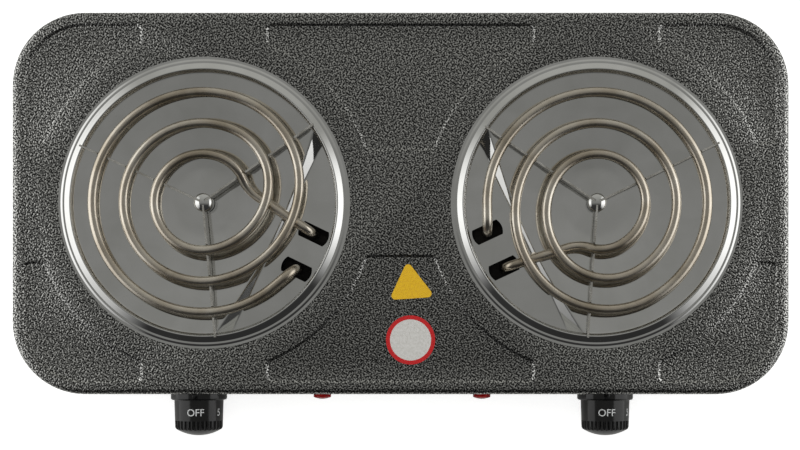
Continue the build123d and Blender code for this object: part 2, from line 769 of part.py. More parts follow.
def make_support_arms(burner, samples):
    """Three upright strips, tapered along the dished floor, notched for the turns, with tips on the rim."""
    top = COIL_RISE
    bottom = COIL_RISE - ARM_DEPTH
    seat = PAN_CREST_RISE + PAN_SHEET + ARM_SEAT_GAP
    shoulder = PAN_FLOOR_R - PAN_SHEET - ARM_WALL_GAP
    tip = PAN_CREST_R + ARM_TIP_OVERHANG
    with BuildPart() as arms:
        for k in range(ARM_COUNT):
            bearing = ARM_START_ANGLE + k * 360 / ARM_COUNT
            with BuildSketch(burner.section(bearing)):
                with BuildLine():
                    Polyline(
                        (ARM_INNER_R, bottom),
                        (PAN_FLAT_R, bottom),
                        (shoulder, COIL_RISE - ARM_TIP_DEPTH),
                        (shoulder, seat),
                        (tip, seat),
                        (tip, top),
                        (ARM_INNER_R, top),
                        close=True,
                    )
                make_face()
                for r, z in arm_crossings(samples, bearing):
                    notch_r = TUBE_R + ARM_NOTCH_CLEARANCE
                    upward = (Align.CENTER, Align.MIN)
                    with Locations((r, z)):
                        Circle(notch_r, mode=Mode.SUBTRACT)
                        Rectangle(2 * notch_r, ARM_DEPTH, align=upward, mode=Mode.SUBTRACT)
            extrude(amount=ARM_THICKNESS / 2, both=True)
    save(arms, f"{burner.name}_support_arms")


def make_medallion(burner):
    """Domed hub with three slots that hold the arms' inner ends."""
    top = COIL_RISE + MEDALLION_CROWN
    shoulder = COIL_RISE - MEDALLION_SHOULDER
    bottom = COIL_RISE - ARM_DEPTH
    slot_start = ARM_INNER_R - MEDALLION_SLOT_CLEARANCE
    with BuildPart() as medallion:
        with BuildSketch(burner.section()):
            with BuildLine():
                Polyline((0, top), (0, bottom), (MEDALLION_R, bottom), (MEDALLION_R, shoulder))
                TangentArc((0, top), (MEDALLION_R, shoulder), tangent=(1, 0))
            make_face()
        revolve(axis=burner.axis())
        with BuildSketch(burner.level(COIL_Z - ARM_DEPTH)):
            with PolarLocations(slot_start + MEDALLION_R / 2, ARM_COUNT, start_angle=ARM_START_ANGLE):
                Rectangle(MEDALLION_R, ARM_THICKNESS + 2 * MEDALLION_SLOT_CLEARANCE)
        extrude(amount=2 * ARM_DEPTH, mode=Mode.SUBTRACT)
    save(medallion, f"{burner.name}_medallion")


def make_coil_ends():
    """Seal beads and tabbed pins at the four ends of the coils."""
    places = [(LEG_X, LEG_SPREAD), (LEG_X, -LEG_SPREAD)]
    with BuildPart() as seals:
        for burner in BURNERS:
            with BuildSketch(burner.level(LEG_END_Z)):
                with Locations(*places):
                    Circle(SEAL_R)
                    Circle(PIN_R + THREAD_CLEARANCE, mode=Mode.SUBTRACT)
        extrude(amount=-SEAL_LENGTH)
    save(seals, "coil_seals")
    with BuildPart() as pins:
        for burner in BURNERS:
            with BuildSketch(burner.level(LEG_END_Z)):
                with Locations(*places):
                    Circle(PIN_R)
        extrude(amount=-PIN_LENGTH)
        for burner in BURNERS:
            with BuildSketch(burner.level(PIN_END_Z)):
                with Locations(*places):
                    Rectangle(TAB_THICKNESS, TAB_WIDTH)
        extrude(amount=-TAB_LENGTH)
    save(pins, "terminal_pins")


def make_leg_bracket(burner):
    """Stand on the base plate whose top flange grips both legs."""
    near = LEG_X - BRACKET_REACH
    far = LEG_X + BRACKET_REACH
    half_width = LEG_SPREAD + BRACKET_SIDE
    with BuildPart() as bracket:
        with BuildSketch(burner.level(BRACKET_Z)):
            with Locations((near, 0)):
                Rectangle(far - near, 2 * half_width, align=(Align.MIN, Align.CENTER))
            with Locations((LEG_X, LEG_SPREAD), (LEG_X, -LEG_SPREAD)):
                Circle(TUBE_R + THREAD_CLEARANCE, mode=Mode.SUBTRACT)
        extrude(amount=BRACKET_SHEET)
        with BuildSketch(burner.level(BASE_TOP_Z)):
            with Locations((far, 0)):
                Rectangle(BRACKET_SHEET, 2 * half_width, align=(Align.MAX, Align.CENTER))
        extrude(amount=BRACKET_Z - BASE_TOP_Z)
        with BuildSketch(burner.level(BASE_TOP_Z)):
            with Locations((far, 0)):
                Rectangle(BRACKET_FOOT, 2 * half_width, align=(Align.MIN, Align.CENTER))
            with Locations(*bracket_screw_places()):
                Circle(SCREW_R + THREAD_CLEARANCE, mode=Mode.SUBTRACT)
        extrude(amount=BRACKET_SHEET)
    save(bracket, f"{burner.name}_leg_bracket")


def make_bracket_screws():
    """Screws through the base plate into the two leg brackets."""
    shank = BASE_SHEET + BRACKET_SHEET + SCREW_R
    pairs = [slotted_screws(burner.level(BASE_Z), bracket_screw_places(), shank) for burner in BURNERS]
    with BuildPart() as screws:
        for pair in pairs:
            add(pair.part)
    save(screws, "bracket_screws")


def make_bezel(burner):
    """Fixed ring round the knob, clamped to the wall by its web, with an index mark on top."""
    inner_r = KNOB_REAR_R + BEZEL_KNOB_GAP
    with BuildPart() as bezel:
        with BuildSketch(burner.front(-SHEET)):
            Circle(BEZEL_R)
        extrude(amount=BEZEL_HEIGHT)
        fillet(bezel.edges().group_by(Axis.Y)[0], BEZEL_EDGE_R)
        with BuildSketch(burner.front(-SHEET - BEZEL_WEB)):
            Circle(inner_r)
        extrude(amount=BEZEL_HEIGHT, mode=Mode.SUBTRACT)
        with BuildSketch(burner.front(-SHEET)):
            Circle(BUSH_R + THREAD_CLEARANCE)
        extrude(amount=BEZEL_WEB, mode=Mode.SUBTRACT)
        with BuildSketch(burner.front(-SHEET)):
            with Locations((0, inner_r)):
                mark_height = BEZEL_R + BEZEL_MARK_HEIGHT - inner_r
                Rectangle(BEZEL_MARK_WIDTH, mark_height, align=(Align.CENTER, Align.MIN))
        extrude(amount=BEZEL_HEIGHT - BEZEL_EDGE_R)
    save(bezel, f"{burner.name}_bezel")


def make_knob(burner):
    """Moulded knob: domed front, fluted grip, hollow back and a socket for the shaft."""
    rear = BEZEL_WEB + KNOB_RUNNING_GAP
    cavity_end = rear + KNOB_CAVITY_DEPTH
    socket_start = BUSH_REACH + KNOB_RUNNING_GAP
    bore = SHAFT_R + CLIP_CLEARANCE
    bore_flat = SHAFT_FLAT + CLIP_THICKNESS + CLIP_CLEARANCE
    with BuildPart() as knob:
        with BuildSketch(burner.control_section()):
            with BuildLine():
                Polyline((0, KNOB_REACH), (0, rear), (KNOB_REAR_R, rear), (KNOB_FRONT_R, KNOB_SIDE_END))
                TangentArc((0, KNOB_REACH), (KNOB_FRONT_R, KNOB_SIDE_END), tangent=(1, 0))
            make_face()
        revolve(axis=burner.control_axis())
        front_edge = knob.edges().filter_by(lambda edge: edge.is_closed).group_by(Axis.Y)[0]
        fillet(front_edge, KNOB_EDGE_R)
        with BuildSketch(burner.front(-SHEET - KNOB_SIDE_END + FLUTE_LENGTH)):
            with PolarLocations(KNOB_FRONT_R + FLUTE_R - FLUTE_DEPTH, KNOB_FLUTES):
                Circle(FLUTE_R)
        extrude(amount=2 * FLUTE_LENGTH, mode=Mode.SUBTRACT)
        with BuildSketch(burner.front(-SHEET - rear)):
            Circle(KNOB_FRONT_R - KNOB_WALL)
        extrude(amount=KNOB_CAVITY_DEPTH, mode=Mode.SUBTRACT)
        with BuildSketch(burner.front(-SHEET - socket_start)):
            Circle(KNOB_SOCKET_R)
            Circle(bore, mode=Mode.SUBTRACT)
        extrude(amount=cavity_end - socket_start)
        with BuildSketch(burner.front(-SHEET - socket_start)):
            Circle(bore)
            with Locations((0, -bore_flat)):
                Rectangle(2 * bore, bore, align=(Align.CENTER, Align.MAX), mode=Mode.INTERSECT)
        extrude(amount=cavity_end - socket_start)
    save(knob, f"{burner.name}_knob")


def make_shaft(burner):
    """Control shaft with a flat for the knob, a stop lug and a tip that presses the spring blade."""
    outer = SHEET + SHAFT_REACH
    lug_bearing = STOP_BEARING - STOP_REST_ANGLE
    with BuildPart() as shaft:
        with BuildSketch(burner.front(COLLAR_DEPTH)):
            Circle(SHAFT_R)
        extrude(amount=COLLAR_DEPTH + outer)
        with BuildSketch(burner.front(-outer)):
            with Locations((0, -SHAFT_FLAT)):
                Rectangle(2 * SHAFT_R, SHAFT_R, align=(Align.CENTER, Align.MAX))
        extrude(amount=BUSH_REACH - SHAFT_REACH, mode=Mode.SUBTRACT)
        with BuildSketch(burner.front(COLLAR_DEPTH)):
            Circle(COLLAR_R)
            with BuildLine():
                sector_lines(lug_bearing, SHAFT_R, LUG_OUTER_R)
            make_face()
        extrude(amount=-COLLAR_THICKNESS)
        with BuildSketch(burner.front(COLLAR_DEPTH + COLLAR_THICKNESS)):
            Circle(TIP_R)
        extrude(amount=-(SPRING_BLADE_DEPTH - TIP_GAP - COLLAR_DEPTH - COLLAR_THICKNESS))
    save(shaft, f"{burner.name}_control_shaft")


def sector_lines(bearing, inner_r, outer_r):
    """Outline of a part of a ring centred on a bearing, as wide as a stop."""
    low = bearing - STOP_HALF_ANGLE
    high = bearing + STOP_HALF_ANGLE
    CenterArc((0, 0), inner_r, low, 2 * STOP_HALF_ANGLE)
    CenterArc((0, 0), outer_r, low, 2 * STOP_HALF_ANGLE)
    Line(polar(inner_r, low), polar(outer_r, low))
    Line(polar(inner_r, high), polar(outer_r, high))


def make_knob_clip(burner):
    """Leaf spring between the shaft's flat and the knob's socket."""
    with BuildPart() as clip:
        with BuildSketch(burner.front(-SHEET - SHAFT_REACH + CLIP_LENGTH)):
            with Locations((0, -SHAFT_FLAT)):
                Rectangle(CLIP_WIDTH, CLIP_THICKNESS, align=(Align.CENTER, Align.MAX))
        extrude(amount=CLIP_LENGTH)
    save(clip, f"{burner.name}_knob_clip")


def make_thermostat(burner):
    """Frame, bush, ceramic stack and blades behind one knob."""
    stack_place = (burner.inward * STACK_OFFSET, 0)
    frame_near = -burner.inward * FRAME_END
    frame_far = burner.inward * (STACK_OFFSET + FRAME_END)
    with BuildPart() as frame:
        with BuildSketch(burner.front()):
            with Locations(((frame_near + frame_far) / 2, 0)):
                Rectangle(abs(frame_far - frame_near), 2 * FRAME_HALF_HEIGHT)
            Circle(BUSH_R + THREAD_CLEARANCE, mode=Mode.SUBTRACT)
            with Locations(stack_place):
                Circle(RIVET_R + THREAD_CLEARANCE, mode=Mode.SUBTRACT)
        extrude(amount=-FRAME_SHEET)
        with BuildSketch(burner.front(FRAME_SHEET)):
            with BuildLine():
                sector_lines(STOP_BEARING, STOP_INNER_R, STOP_OUTER_R)
            make_face()
        extrude(amount=-(BUSH_SHOULDER + COLLAR_GAP + COLLAR_THICKNESS))
    save(frame, f"{burner.name}_thermostat_frame")

    with BuildPart() as bush:
        with BuildSketch(burner.front(SHOULDER_DEPTH)):
            Circle(BUSH_SHOULDER_R)
        extrude(amount=BUSH_SHOULDER)
        with BuildSketch(burner.front(FRAME_SHEET)):
            Circle(BUSH_R)
        extrude(amount=FRAME_SHEET + SHEET + BUSH_REACH)
        with BuildSketch(burner.front(SHOULDER_DEPTH)):
            Circle(SHAFT_R + SHAFT_RUNNING_FIT)
        extrude(amount=SHOULDER_DEPTH + SHEET + BUSH_REACH, mode=Mode.SUBTRACT)
    save(bush, f"{burner.name}_shaft_bush")

    ring_spans = (
        (FRAME_SHEET, STACK_SPACER),
        (SPRING_BLADE_DEPTH + BLADE_THICKNESS, STACK_RING),
        (FIXED_BLADE_DEPTH + BLADE_THICKNESS, STACK_RING),
        (BIMETAL_DEPTH + BLADE_THICKNESS, STACK_CAP),
    )
    with BuildPart() as rings:
        for depth, thickness in ring_spans:
            with BuildSketch(burner.front(depth)):
                with Locations(stack_place):
                    Circle(STACK_R)
                    Circle(RIVET_R + THREAD_CLEARANCE, mode=Mode.SUBTRACT)
            extrude(amount=-thickness)
    save(rings, f"{burner.name}_ceramic_stack")

    with BuildPart() as blades:
        for depth in (SPRING_BLADE_DEPTH, FIXED_BLADE_DEPTH):
            with BuildSketch(burner.front(depth)):
                blade_outline(burner, -BLADE_OVERREACH, BLADE_END)
            extrude(amount=-BLADE_THICKNESS)
        with BuildSketch(burner.front(FIXED_BLADE_DEPTH)):
            with Locations((-burner.inward * BLADE_OVERREACH / 2, 0)):
                Circle(CONTACT_R)
        extrude(amount=CONTACT_HEIGHT)
    save(blades, f"{burner.name}_contact_blades")

    with BuildPart() as bimetal:
        with BuildSketch(burner.front(BIMETAL_DEPTH)):
            blade_outline(burner, -BLADE_OVERREACH, STACK_OFFSET + STACK_R)
        extrude(amount=-BLADE_THICKNESS)
    save(bimetal, f"{burner.name}_bimetal_blade")


def blade_outline(burner, near, far):
    """Strip from near to far along the wall, pierced for the stack's rivet."""
    with Locations((burner.inward * (near + far) / 2, 0)):
        Rectangle(far - near, 2 * BLADE_HALF_WIDTH)
    with Locations((burner.inward * STACK_OFFSET, 0)):
        Circle(RIVET_R + THREAD_CLEARANCE, mode=Mode.SUBTRACT)


def make_control_fasteners():
    """Nuts that clamp the bushes and rivets that hold the ceramic stacks."""
    with BuildPart() as nuts:
        for burner in BURNERS:
            with BuildSketch(burner.front(-SHEET - BEZEL_WEB)):
                RegularPolygon(BUSH_NUT_ACROSS_FLATS / 2, 6, major_radius=False)
                Circle(BUSH_R + THREAD_CLEARANCE, mode=Mode.SUBTRACT)
        extrude(amount=BUSH_NUT_HEIGHT)
    save(nuts, "bush_nuts")
    with BuildPart() as rivets:
        for burner in BURNERS:
            with BuildSketch(burner.front()):
                with Locations((burner.inward * STACK_OFFSET, 0)):
                    Circle(RIVET_R)
        extrude(amount=-STACK_END_DEPTH)
        for burner in BURNERS:
            with BuildSketch(burner.front(STACK_END_DEPTH)):
                with Locations((burner.inward * STACK_OFFSET, 0)):
                    Circle(RIVET_HEAD_R)
        extrude(amount=-RIVET_HEAD)
    save(rivets, "stack_rivets")


def make_lamp(burner):
    """Red lens with a hollow tail through the wall, and the bulb inside it."""
    bore_front = LAMP_REACH - LAMP_CROWN - LAMP_BORE_END
    tail_end = -SHEET - LAMP_TAIL_LENGTH
    with BuildPart() as lens:
        with BuildSketch(burner.control_section(burner.lamp_x)):
            with BuildLine():
                Polyline(
                    (0, LAMP_REACH),
                    (0, bore_front),
                    (LAMP_BORE_R, bore_front),
                    (LAMP_BORE_R, tail_end),
                    (LAMP_TAIL_R, tail_end),
                    (LAMP_TAIL_R, 0),
                    (LAMP_HEAD_R, 0),
                    (LAMP_HEAD_R, LAMP_REACH - LAMP_CROWN),
                )
                TangentArc((0, LAMP_REACH), (LAMP_HEAD_R, LAMP_REACH - LAMP_CROWN), tangent=(1, 0))
            make_face()
        revolve(axis=burner.control_axis(burner.lamp_x))
    save(lens, f"{burner.name}_lamp_lens")
    with BuildPart() as bulb:
        with BuildSketch(burner.front(LAMP_TAIL_LENGTH, burner.lamp_x)):
            Circle(BULB_R)
        extrude(amount=LAMP_TAIL_LENGTH + SHEET + bore_front - BULB_GAP)
        fillet(bulb.edges().group_by(Axis.Y)[0], BULB_R / 2)
    save(bulb, f"{burner.name}_lamp_bulb")


def make_lamp_clips():
    """Push-on rings that hold the lamps behind the wall."""
    with BuildPart() as clips:
        for burner in BURNERS:
            with BuildSketch(burner.front(0, burner.lamp_x)):
                Circle(LAMP_CLIP_R)
                Circle(LAMP_TAIL_R + THREAD_CLEARANCE, mode=Mode.SUBTRACT)
        extrude(amount=-LAMP_CLIP_SHEET)
    save(clips, "lamp_clips")


def make_gland():
    """Rubber bush in the rear wall for the mains lead."""
    neck = SHEET + 2 * GLAND_CLEARANCE
    outer = gland_plane().offset(GLAND_CLEARANCE)
    inner = outer.offset(-neck)
    with BuildPart() as gland:
        with BuildSketch(outer):
            Circle(GLAND_FLANGE_R)
        extrude(amount=GLAND_REACH - GLAND_CLEARANCE)
        fillet(gland.edges().group_by(Axis.Y)[-1], FOOT_EDGE_R)
        with BuildSketch(outer):
            Circle(GLAND_NECK_R)
        extrude(amount=-neck)
        with BuildSketch(inner):
            Circle(GLAND_FLANGE_R)
        extrude(amount=-GLAND_INNER_FLANGE)
        with BuildSketch(inner.offset(-GLAND_INNER_FLANGE)):
            Circle(GLAND_BORE_R)
        extrude(amount=GLAND_INNER_FLANGE + neck + GLAND_REACH, mode=Mode.SUBTRACT)
    save(gland, "cord_gland")


def make_terminal_block():
    """Three-pole block on the base plate, its screws, and the earth stud beside it."""
    first_pole = -(BLOCK_POLES - 1) / 2 * BLOCK_POLE_PITCH
    poles = [(first_pole + k * BLOCK_POLE_PITCH, BLOCK_Y - HOUSING_Y) for k in range(BLOCK_POLES)]
    top = BASE_TOP_Z + BLOCK_HEIGHT
    with BuildPart() as block:
        with BuildSketch(level(BASE_TOP_Z)):
            with Locations((0, BLOCK_Y - HOUSING_Y)):
                RectangleRounded(BLOCK_WIDTH, BLOCK_DEPTH, BLOCK_EDGE_R)
        extrude(amount=BLOCK_HEIGHT)
        with BuildSketch(level(top)):
            with Locations(*poles):
                Circle(BLOCK_SCREW_R + HOLE_CLEARANCE)
        extrude(amount=-BLOCK_SCREW_HEIGHT, mode=Mode.SUBTRACT)
    save(block, "terminal_block")
    with BuildPart() as screws:
        with BuildSketch(level(top - BLOCK_SCREW_HEIGHT)):
            with Locations(*poles):
                Circle(BLOCK_SCREW_R)
        extrude(amount=BLOCK_SCREW_HEIGHT)
        with BuildSketch(level(top)):
            with Locations(*poles):
                Rectangle(2 * BLOCK_SCREW_R, SCREW_SLOT_WIDTH)
        extrude(amount=-SCREW_SLOT_DEPTH, mode=Mode.SUBTRACT)
    save(screws, "terminal_screws")
    earth = (EARTH_X, BLOCK_Y, BASE_Z)
    with BuildPart() as stud:
        with BuildSketch(Plane(earth)):
            Circle(EARTH_STUD_R)
        extrude(amount=EARTH_STUD_HEIGHT)
        with BuildSketch(Plane(earth).offset(BASE_SHEET + EARTH_LUG_SHEET)):
            RegularPolygon(NUT_ACROSS_FLATS / 2, 6, major_radius=False)
        extrude(amount=NUT_HEIGHT)
    save(stud, "earth_stud")
    with BuildPart() as lug:
        with BuildSketch(Plane(earth).offset(BASE_SHEET)):
            Circle(EARTH_LUG_R)
            Rectangle(2 * WIRE_R, EARTH_TAIL_LENGTH, align=(Align.CENTER, Align.MAX))
            Circle(EARTH_STUD_R + THREAD_CLEARANCE, mode=Mode.SUBTRACT)
        extrude(amount=EARTH_LUG_SHEET)
        with BuildSketch(Plane(earth).offset(BASE_SHEET)):
            with Locations((0, -EARTH_TAIL_LENGTH)):
                Rectangle(2 * WIRE_R, EARTH_BARREL_LENGTH, align=(Align.CENTER, Align.MAX))
        extrude(amount=2 * WIRE_R)
    save(lug, "earth_lug")


def make_connectors():
    """Push-on connectors over the coil pins' tabs and the thermostat blades."""
    with BuildPart() as connectors:
        for burner in BURNERS:
            places = [(LEG_X, LEG_SPREAD), (LEG_X, -LEG_SPREAD)]
            with BuildSketch(burner.level(PIN_END_Z)):
                with Locations(*places):
                    Rectangle(CONNECTOR_THICKNESS, CONNECTOR_WIDTH)
            extrude(amount=-CONNECTOR_LENGTH)
            with BuildSketch(burner.level(PIN_END_Z)):
                with Locations(*places):
                    Rectangle(TAB_THICKNESS + 2 * CONNECTOR_CLEARANCE, TAB_WIDTH + 2 * CONNECTOR_CLEARANCE)
            extrude(amount=-TAB_LENGTH - CONNECTOR_CLEARANCE, mode=Mode.SUBTRACT)
            for depth in (SPRING_BLADE_DEPTH, FIXED_BLADE_DEPTH):
                middle = depth + BLADE_THICKNESS / 2
                tab_root = BLADE_END - TAB_LENGTH
                start = (burner.knob_x + burner.inward * tab_root, INNER_FRONT_Y + middle, KNOB_Z)
                plane = Plane(start, x_dir=(0, 1, 0), z_dir=(burner.inward, 0, 0))
                with BuildSketch(plane):
                    Rectangle(CONNECTOR_THICKNESS, CONNECTOR_WIDTH)
                extrude(amount=CONNECTOR_LENGTH)
                with BuildSketch(plane):
                    Rectangle(BLADE_THICKNESS, 2 * BLADE_HALF_WIDTH)
                    offset(amount=CONNECTOR_CLEARANCE, kind=Kind.INTERSECTION)
                extrude(amount=TAB_LENGTH + CONNECTOR_CLEARANCE, mode=Mode.SUBTRACT)
    save(connectors, "push_on_connectors")


def bend_radii(points):
    """Largest bend radius that each corner of a route has room for."""
    radii = []
    for before, corner, after in zip(points, points[1:], points[2:]):
        way_in = Vector(*corner) - Vector(*before)
        way_out = Vector(*after) - Vector(*corner)
        turn = math.radians(way_in.get_angle(way_out))
        radii.append(RADIUS_SHARE * min(way_in.length, way_out.length) / math.tan(turn / 2))
    return radii


def make_wires(name, radius, routes):
    """Round wires along hand-chosen routes of straight runs and bends."""
    with BuildPart() as wires:
        for points in routes:
            radii = bend_radii(points)
            with BuildLine() as path:
                bent_line(points, radii)
            with BuildSketch(Plane(points[0], z_dir=Vector(*points[1]) - Vector(*points[0]))):
                Circle(radius)
            sweep(path=path.wire())
            listed = ", ".join(f"{r:.0f}" for r in radii)
            print(f"{name}: length {path.wire().length:.0f} mm, bend radii {listed} mm")
    save(wires, name)


def make_wiring():
    """Live, neutral, switched and earth wires and the lamps' leads."""
    entry_z = BASE_TOP_Z + BLOCK_ENTRY_HEIGHT
    lead_z = entry_z + WIRE_SPACING
    spring_y = INNER_FRONT_Y + SPRING_BLADE_DEPTH + BLADE_THICKNESS / 2
    fixed_y = INNER_FRONT_Y + FIXED_BLADE_DEPTH + BLADE_THICKNESS / 2
    lamp_back = INNER_FRONT_Y + LAMP_TAIL_LENGTH
    live_routes = []
    switched_routes = []
    neutral_routes = []
    lead_routes = []
    for burner in BURNERS:
        inward = burner.inward
        side = burner.side
        face_x = burner.knob_x + inward * CONNECTOR_FACE
        live_x = side * WIRE_SPACING / 2
        live_z = KNOB_Z + CONNECTOR_WIRE_OFFSET
        live_routes.append(
            [
                (live_x, BLOCK_FRONT_Y, entry_z),
                (live_x, BLOCK_FRONT_Y - 16, entry_z),
                (live_x + side * 4, BLOCK_FRONT_Y - 44, entry_z + 10),
                (live_x + side * 20, FRONT_Y + 86, entry_z + 11),
                (face_x + inward * 52, FRONT_Y + 36, live_z + 6),
                (face_x + inward * 22, fixed_y + 7, live_z + 6),
                (face_x + inward * 12, fixed_y, live_z),
                (face_x, fixed_y, live_z),
            ]
        )
        switched_z = KNOB_Z - CONNECTOR_WIRE_OFFSET
        switched_end = burner.legs(-CONNECTOR_WIRE_OFFSET)[0]
        switched_routes.append(
            [
                (face_x, spring_y, switched_z),
                (face_x + inward * 12, spring_y, switched_z),
                (switched_end.X - inward * 6, FRONT_Y + 34, WIRE_RUN_HEIGHT + 6),
                (switched_end.X, switched_end.Y - 14, WIRE_RUN_HEIGHT),
                (switched_end.X, switched_end.Y, WIRE_RUN_HEIGHT),
                (switched_end.X, switched_end.Y, CONNECTOR_END_Z),
            ]
        )
        neutral_x = -BLOCK_POLE_PITCH + live_x
        neutral_end = burner.legs()[1]
        neutral_routes.append(
            [
                (neutral_x, BLOCK_FRONT_Y, entry_z),
                (neutral_x, BLOCK_FRONT_Y - 34, entry_z),
                ((neutral_x + neutral_end.X) / 2, HOUSING_Y + 22, WIRE_RUN_HEIGHT),
                (neutral_end.X, neutral_end.Y + 14, WIRE_RUN_HEIGHT),
                (neutral_end.X, neutral_end.Y, WIRE_RUN_HEIGHT),
                (neutral_end.X, neutral_end.Y, CONNECTOR_END_Z),
            ]
        )
        lead_end = burner.legs(CONNECTOR_LEAD_OFFSET)[0]
        lead_routes.append(
            [
                (burner.lamp_x + side * WIRE_R, lamp_back, KNOB_Z),
                (burner.lamp_x + side * WIRE_R, lamp_back + 14, KNOB_Z),
                (lead_end.X, lead_end.Y - 24, LEAD_RUN_HEIGHT + 4),
                (lead_end.X, lead_end.Y - 6, LEAD_RUN_HEIGHT),
                (lead_end.X, lead_end.Y, LEAD_RUN_HEIGHT),
                (lead_end.X, lead_end.Y, CONNECTOR_END_Z),
            ]
        )
        lead_routes.append(
            [
                (burner.lamp_x - side * WIRE_R, lamp_back, KNOB_Z),
                (burner.lamp_x - side * WIRE_R, lamp_back + 20, KNOB_Z),
                (side * 22, FRONT_Y + 62, LEAD_RUN_HEIGHT),
                (neutral_x / 2 + side * 12, HOUSING_Y - 4, LEAD_RUN_HEIGHT),
                (neutral_x, BLOCK_FRONT_Y - 32, lead_z),
                (neutral_x, BLOCK_FRONT_Y, lead_z),
            ]
        )
    make_wires("live_wires", WIRE_R, live_routes)
    make_wires("switched_wires", WIRE_R, switched_routes)
    make_wires("neutral_wires", WIRE_R, neutral_routes)
    make_wires("lamp_leads", LEAD_R, lead_routes)
    barrel_y = BLOCK_Y - EARTH_TAIL_LENGTH - EARTH_BARREL_LENGTH
    earth_z = BASE_TOP_Z + WIRE_R
    earth_route = [
        (BLOCK_POLE_PITCH, BLOCK_FRONT_Y, entry_z),
        (BLOCK_POLE_PITCH, BLOCK_FRONT_Y - 14, entry_z),
        (EARTH_X - 12, BLOCK_FRONT_Y - 26, earth_z + 1),
        (EARTH_X, barrel_y - 14, earth_z),
        (EARTH_X, barrel_y, earth_z),
    ]
    make_wires("earth_wire", WIRE_R, [earth_route])


def make_burner(burner):
    """Every piece that belongs to one burner and its control."""
    wire = coil_path(burner)
    samples = coil_samples(burner, wire)
    print(f"{burner.name} coil: least gap to itself {least_gap(wire, samples):.2f} mm")
    make_drip_pan(burner)
    make_coil(burner, wire)
    make_support_arms(burner, samples)
    make_medallion(burner)
    make_leg_bracket(burner)
    make_bezel(burner)
    make_knob(burner)
    make_shaft(burner)
    make_knob_clip(burner)
    make_thermostat(burner)
    make_lamp(burner)


os.makedirs("parts", exist_ok=True)
make_top_housing()
make_base_plate()
make_posts()
make_base_screws()
make_feet()
for each in BURNERS:
    make_burner(each)
make_coil_ends()
make_bracket_screws()
make_control_fasteners()
make_lamp_clips()
make_gland()
make_terminal_block()
make_connectors()
make_wiring()
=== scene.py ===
"""Dresses a two-burner coil hot plate: finishes, pans, wound coils, dials, stickers and the studio."""
import json
import logging
import math
from dataclasses import dataclass
from enum import Enum
from functools import partial
from typing import Any, Callable, Iterable, Sequence

import bmesh
import bpy
from mathutils import Matrix, Vector


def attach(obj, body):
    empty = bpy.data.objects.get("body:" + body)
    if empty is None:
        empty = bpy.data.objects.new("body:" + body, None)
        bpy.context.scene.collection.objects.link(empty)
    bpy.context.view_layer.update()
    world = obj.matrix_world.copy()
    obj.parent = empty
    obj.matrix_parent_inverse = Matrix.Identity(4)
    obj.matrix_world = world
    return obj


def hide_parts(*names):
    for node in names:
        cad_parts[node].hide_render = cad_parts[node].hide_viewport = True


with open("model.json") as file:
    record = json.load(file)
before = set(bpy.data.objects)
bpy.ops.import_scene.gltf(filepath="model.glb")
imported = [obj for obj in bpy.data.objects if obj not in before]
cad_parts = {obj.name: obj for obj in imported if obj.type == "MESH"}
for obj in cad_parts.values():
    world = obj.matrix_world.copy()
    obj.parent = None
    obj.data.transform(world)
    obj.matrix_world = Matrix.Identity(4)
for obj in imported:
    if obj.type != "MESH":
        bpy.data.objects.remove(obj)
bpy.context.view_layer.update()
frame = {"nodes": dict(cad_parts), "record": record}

MM = 0.001
BUILT_JOIN = 1e-7
SOLID_JOIN = 1e-6
LETTER_JOIN = 1e-5
LEAST_RUN = 1e-9
LEAST_BEND_STEPS = 6
LOG = logging.getLogger("hot_plate")
Points = list[Vector]
Outline = list[tuple[float, float]]
Adder = Callable[..., bpy.types.Node]


class Side(Enum):
    """The two cooking positions, each with its sign along X."""

    LEFT = -1
    RIGHT = 1

    @property
    def word(self) -> str:
        """Name of the side as the solids use it."""
        return self.name.lower()


class Body(Enum):
    """Bodies that pieces ride on."""

    HOUSING = "housing"
    LEFT_CONTROL = "left_control"
    RIGHT_CONTROL = "right_control"


def linear(hex_colour: str) -> tuple[float, float, float, float]:
    """Turn an sRGB hex colour to linear light.

    Args:
        hex_colour: Six hex digits.

    Returns:
        Red, green, blue and alpha.
    """
    parts = [int(hex_colour[i : i + 2], 16) / 255 for i in (0, 2, 4)]
    light = [c / 12.92 if c <= 0.04045 else ((c + 0.055) / 1.055) ** 2.4 for c in parts]
    return (*light, 1.0)


def feed(tree: Any, node: Any, inputs: dict) -> None:
    """Set inputs of a node.

    Args:
        tree: Node tree of the node.
        node: Node whose inputs are set.
        inputs: Input name or number to a plain value, an output, or a node whose first output is meant.
    """
    for key, value in inputs.items():
        if isinstance(value, bpy.types.Node):
            value = value.outputs[0]
        if isinstance(value, bpy.types.NodeSocket):
            tree.links.new(value, node.inputs[key])
        else:
            node.inputs[key].default_value = value


def add_node(tree: Any, kind: str, settings: dict | None = None, inputs: dict | None = None) -> Any:
    """Add a node with its settings and links.

    Args:
        tree: Node tree that gets the node.
        kind: Identifier of the node's type.
        settings: Properties of the node; "stops" is a ramp's places and hex colours, in order.
        inputs: What feeds it, as for feed.

    Returns:
        The new node.
    """
    node = tree.nodes.new(kind)
    for key, value in (settings or {}).items():
        if key != "stops":
            setattr(node, key, value)
            continue
        marks = node.color_ramp.elements
        while len(marks) < len(value):
            marks.new(1.0)
        for mark, (place, colour) in zip(marks, value):
            mark.position = place
            mark.color = linear(colour)
    feed(tree, node, inputs or {})
    return node


def pattern(place: Any, size_mm: float, **more: float) -> dict:
    """Inputs of a pattern on given coordinates whose repeat is a size in millimetres."""
    return {"Vector": place, "Scale": 1 / (size_mm * MM)} | more


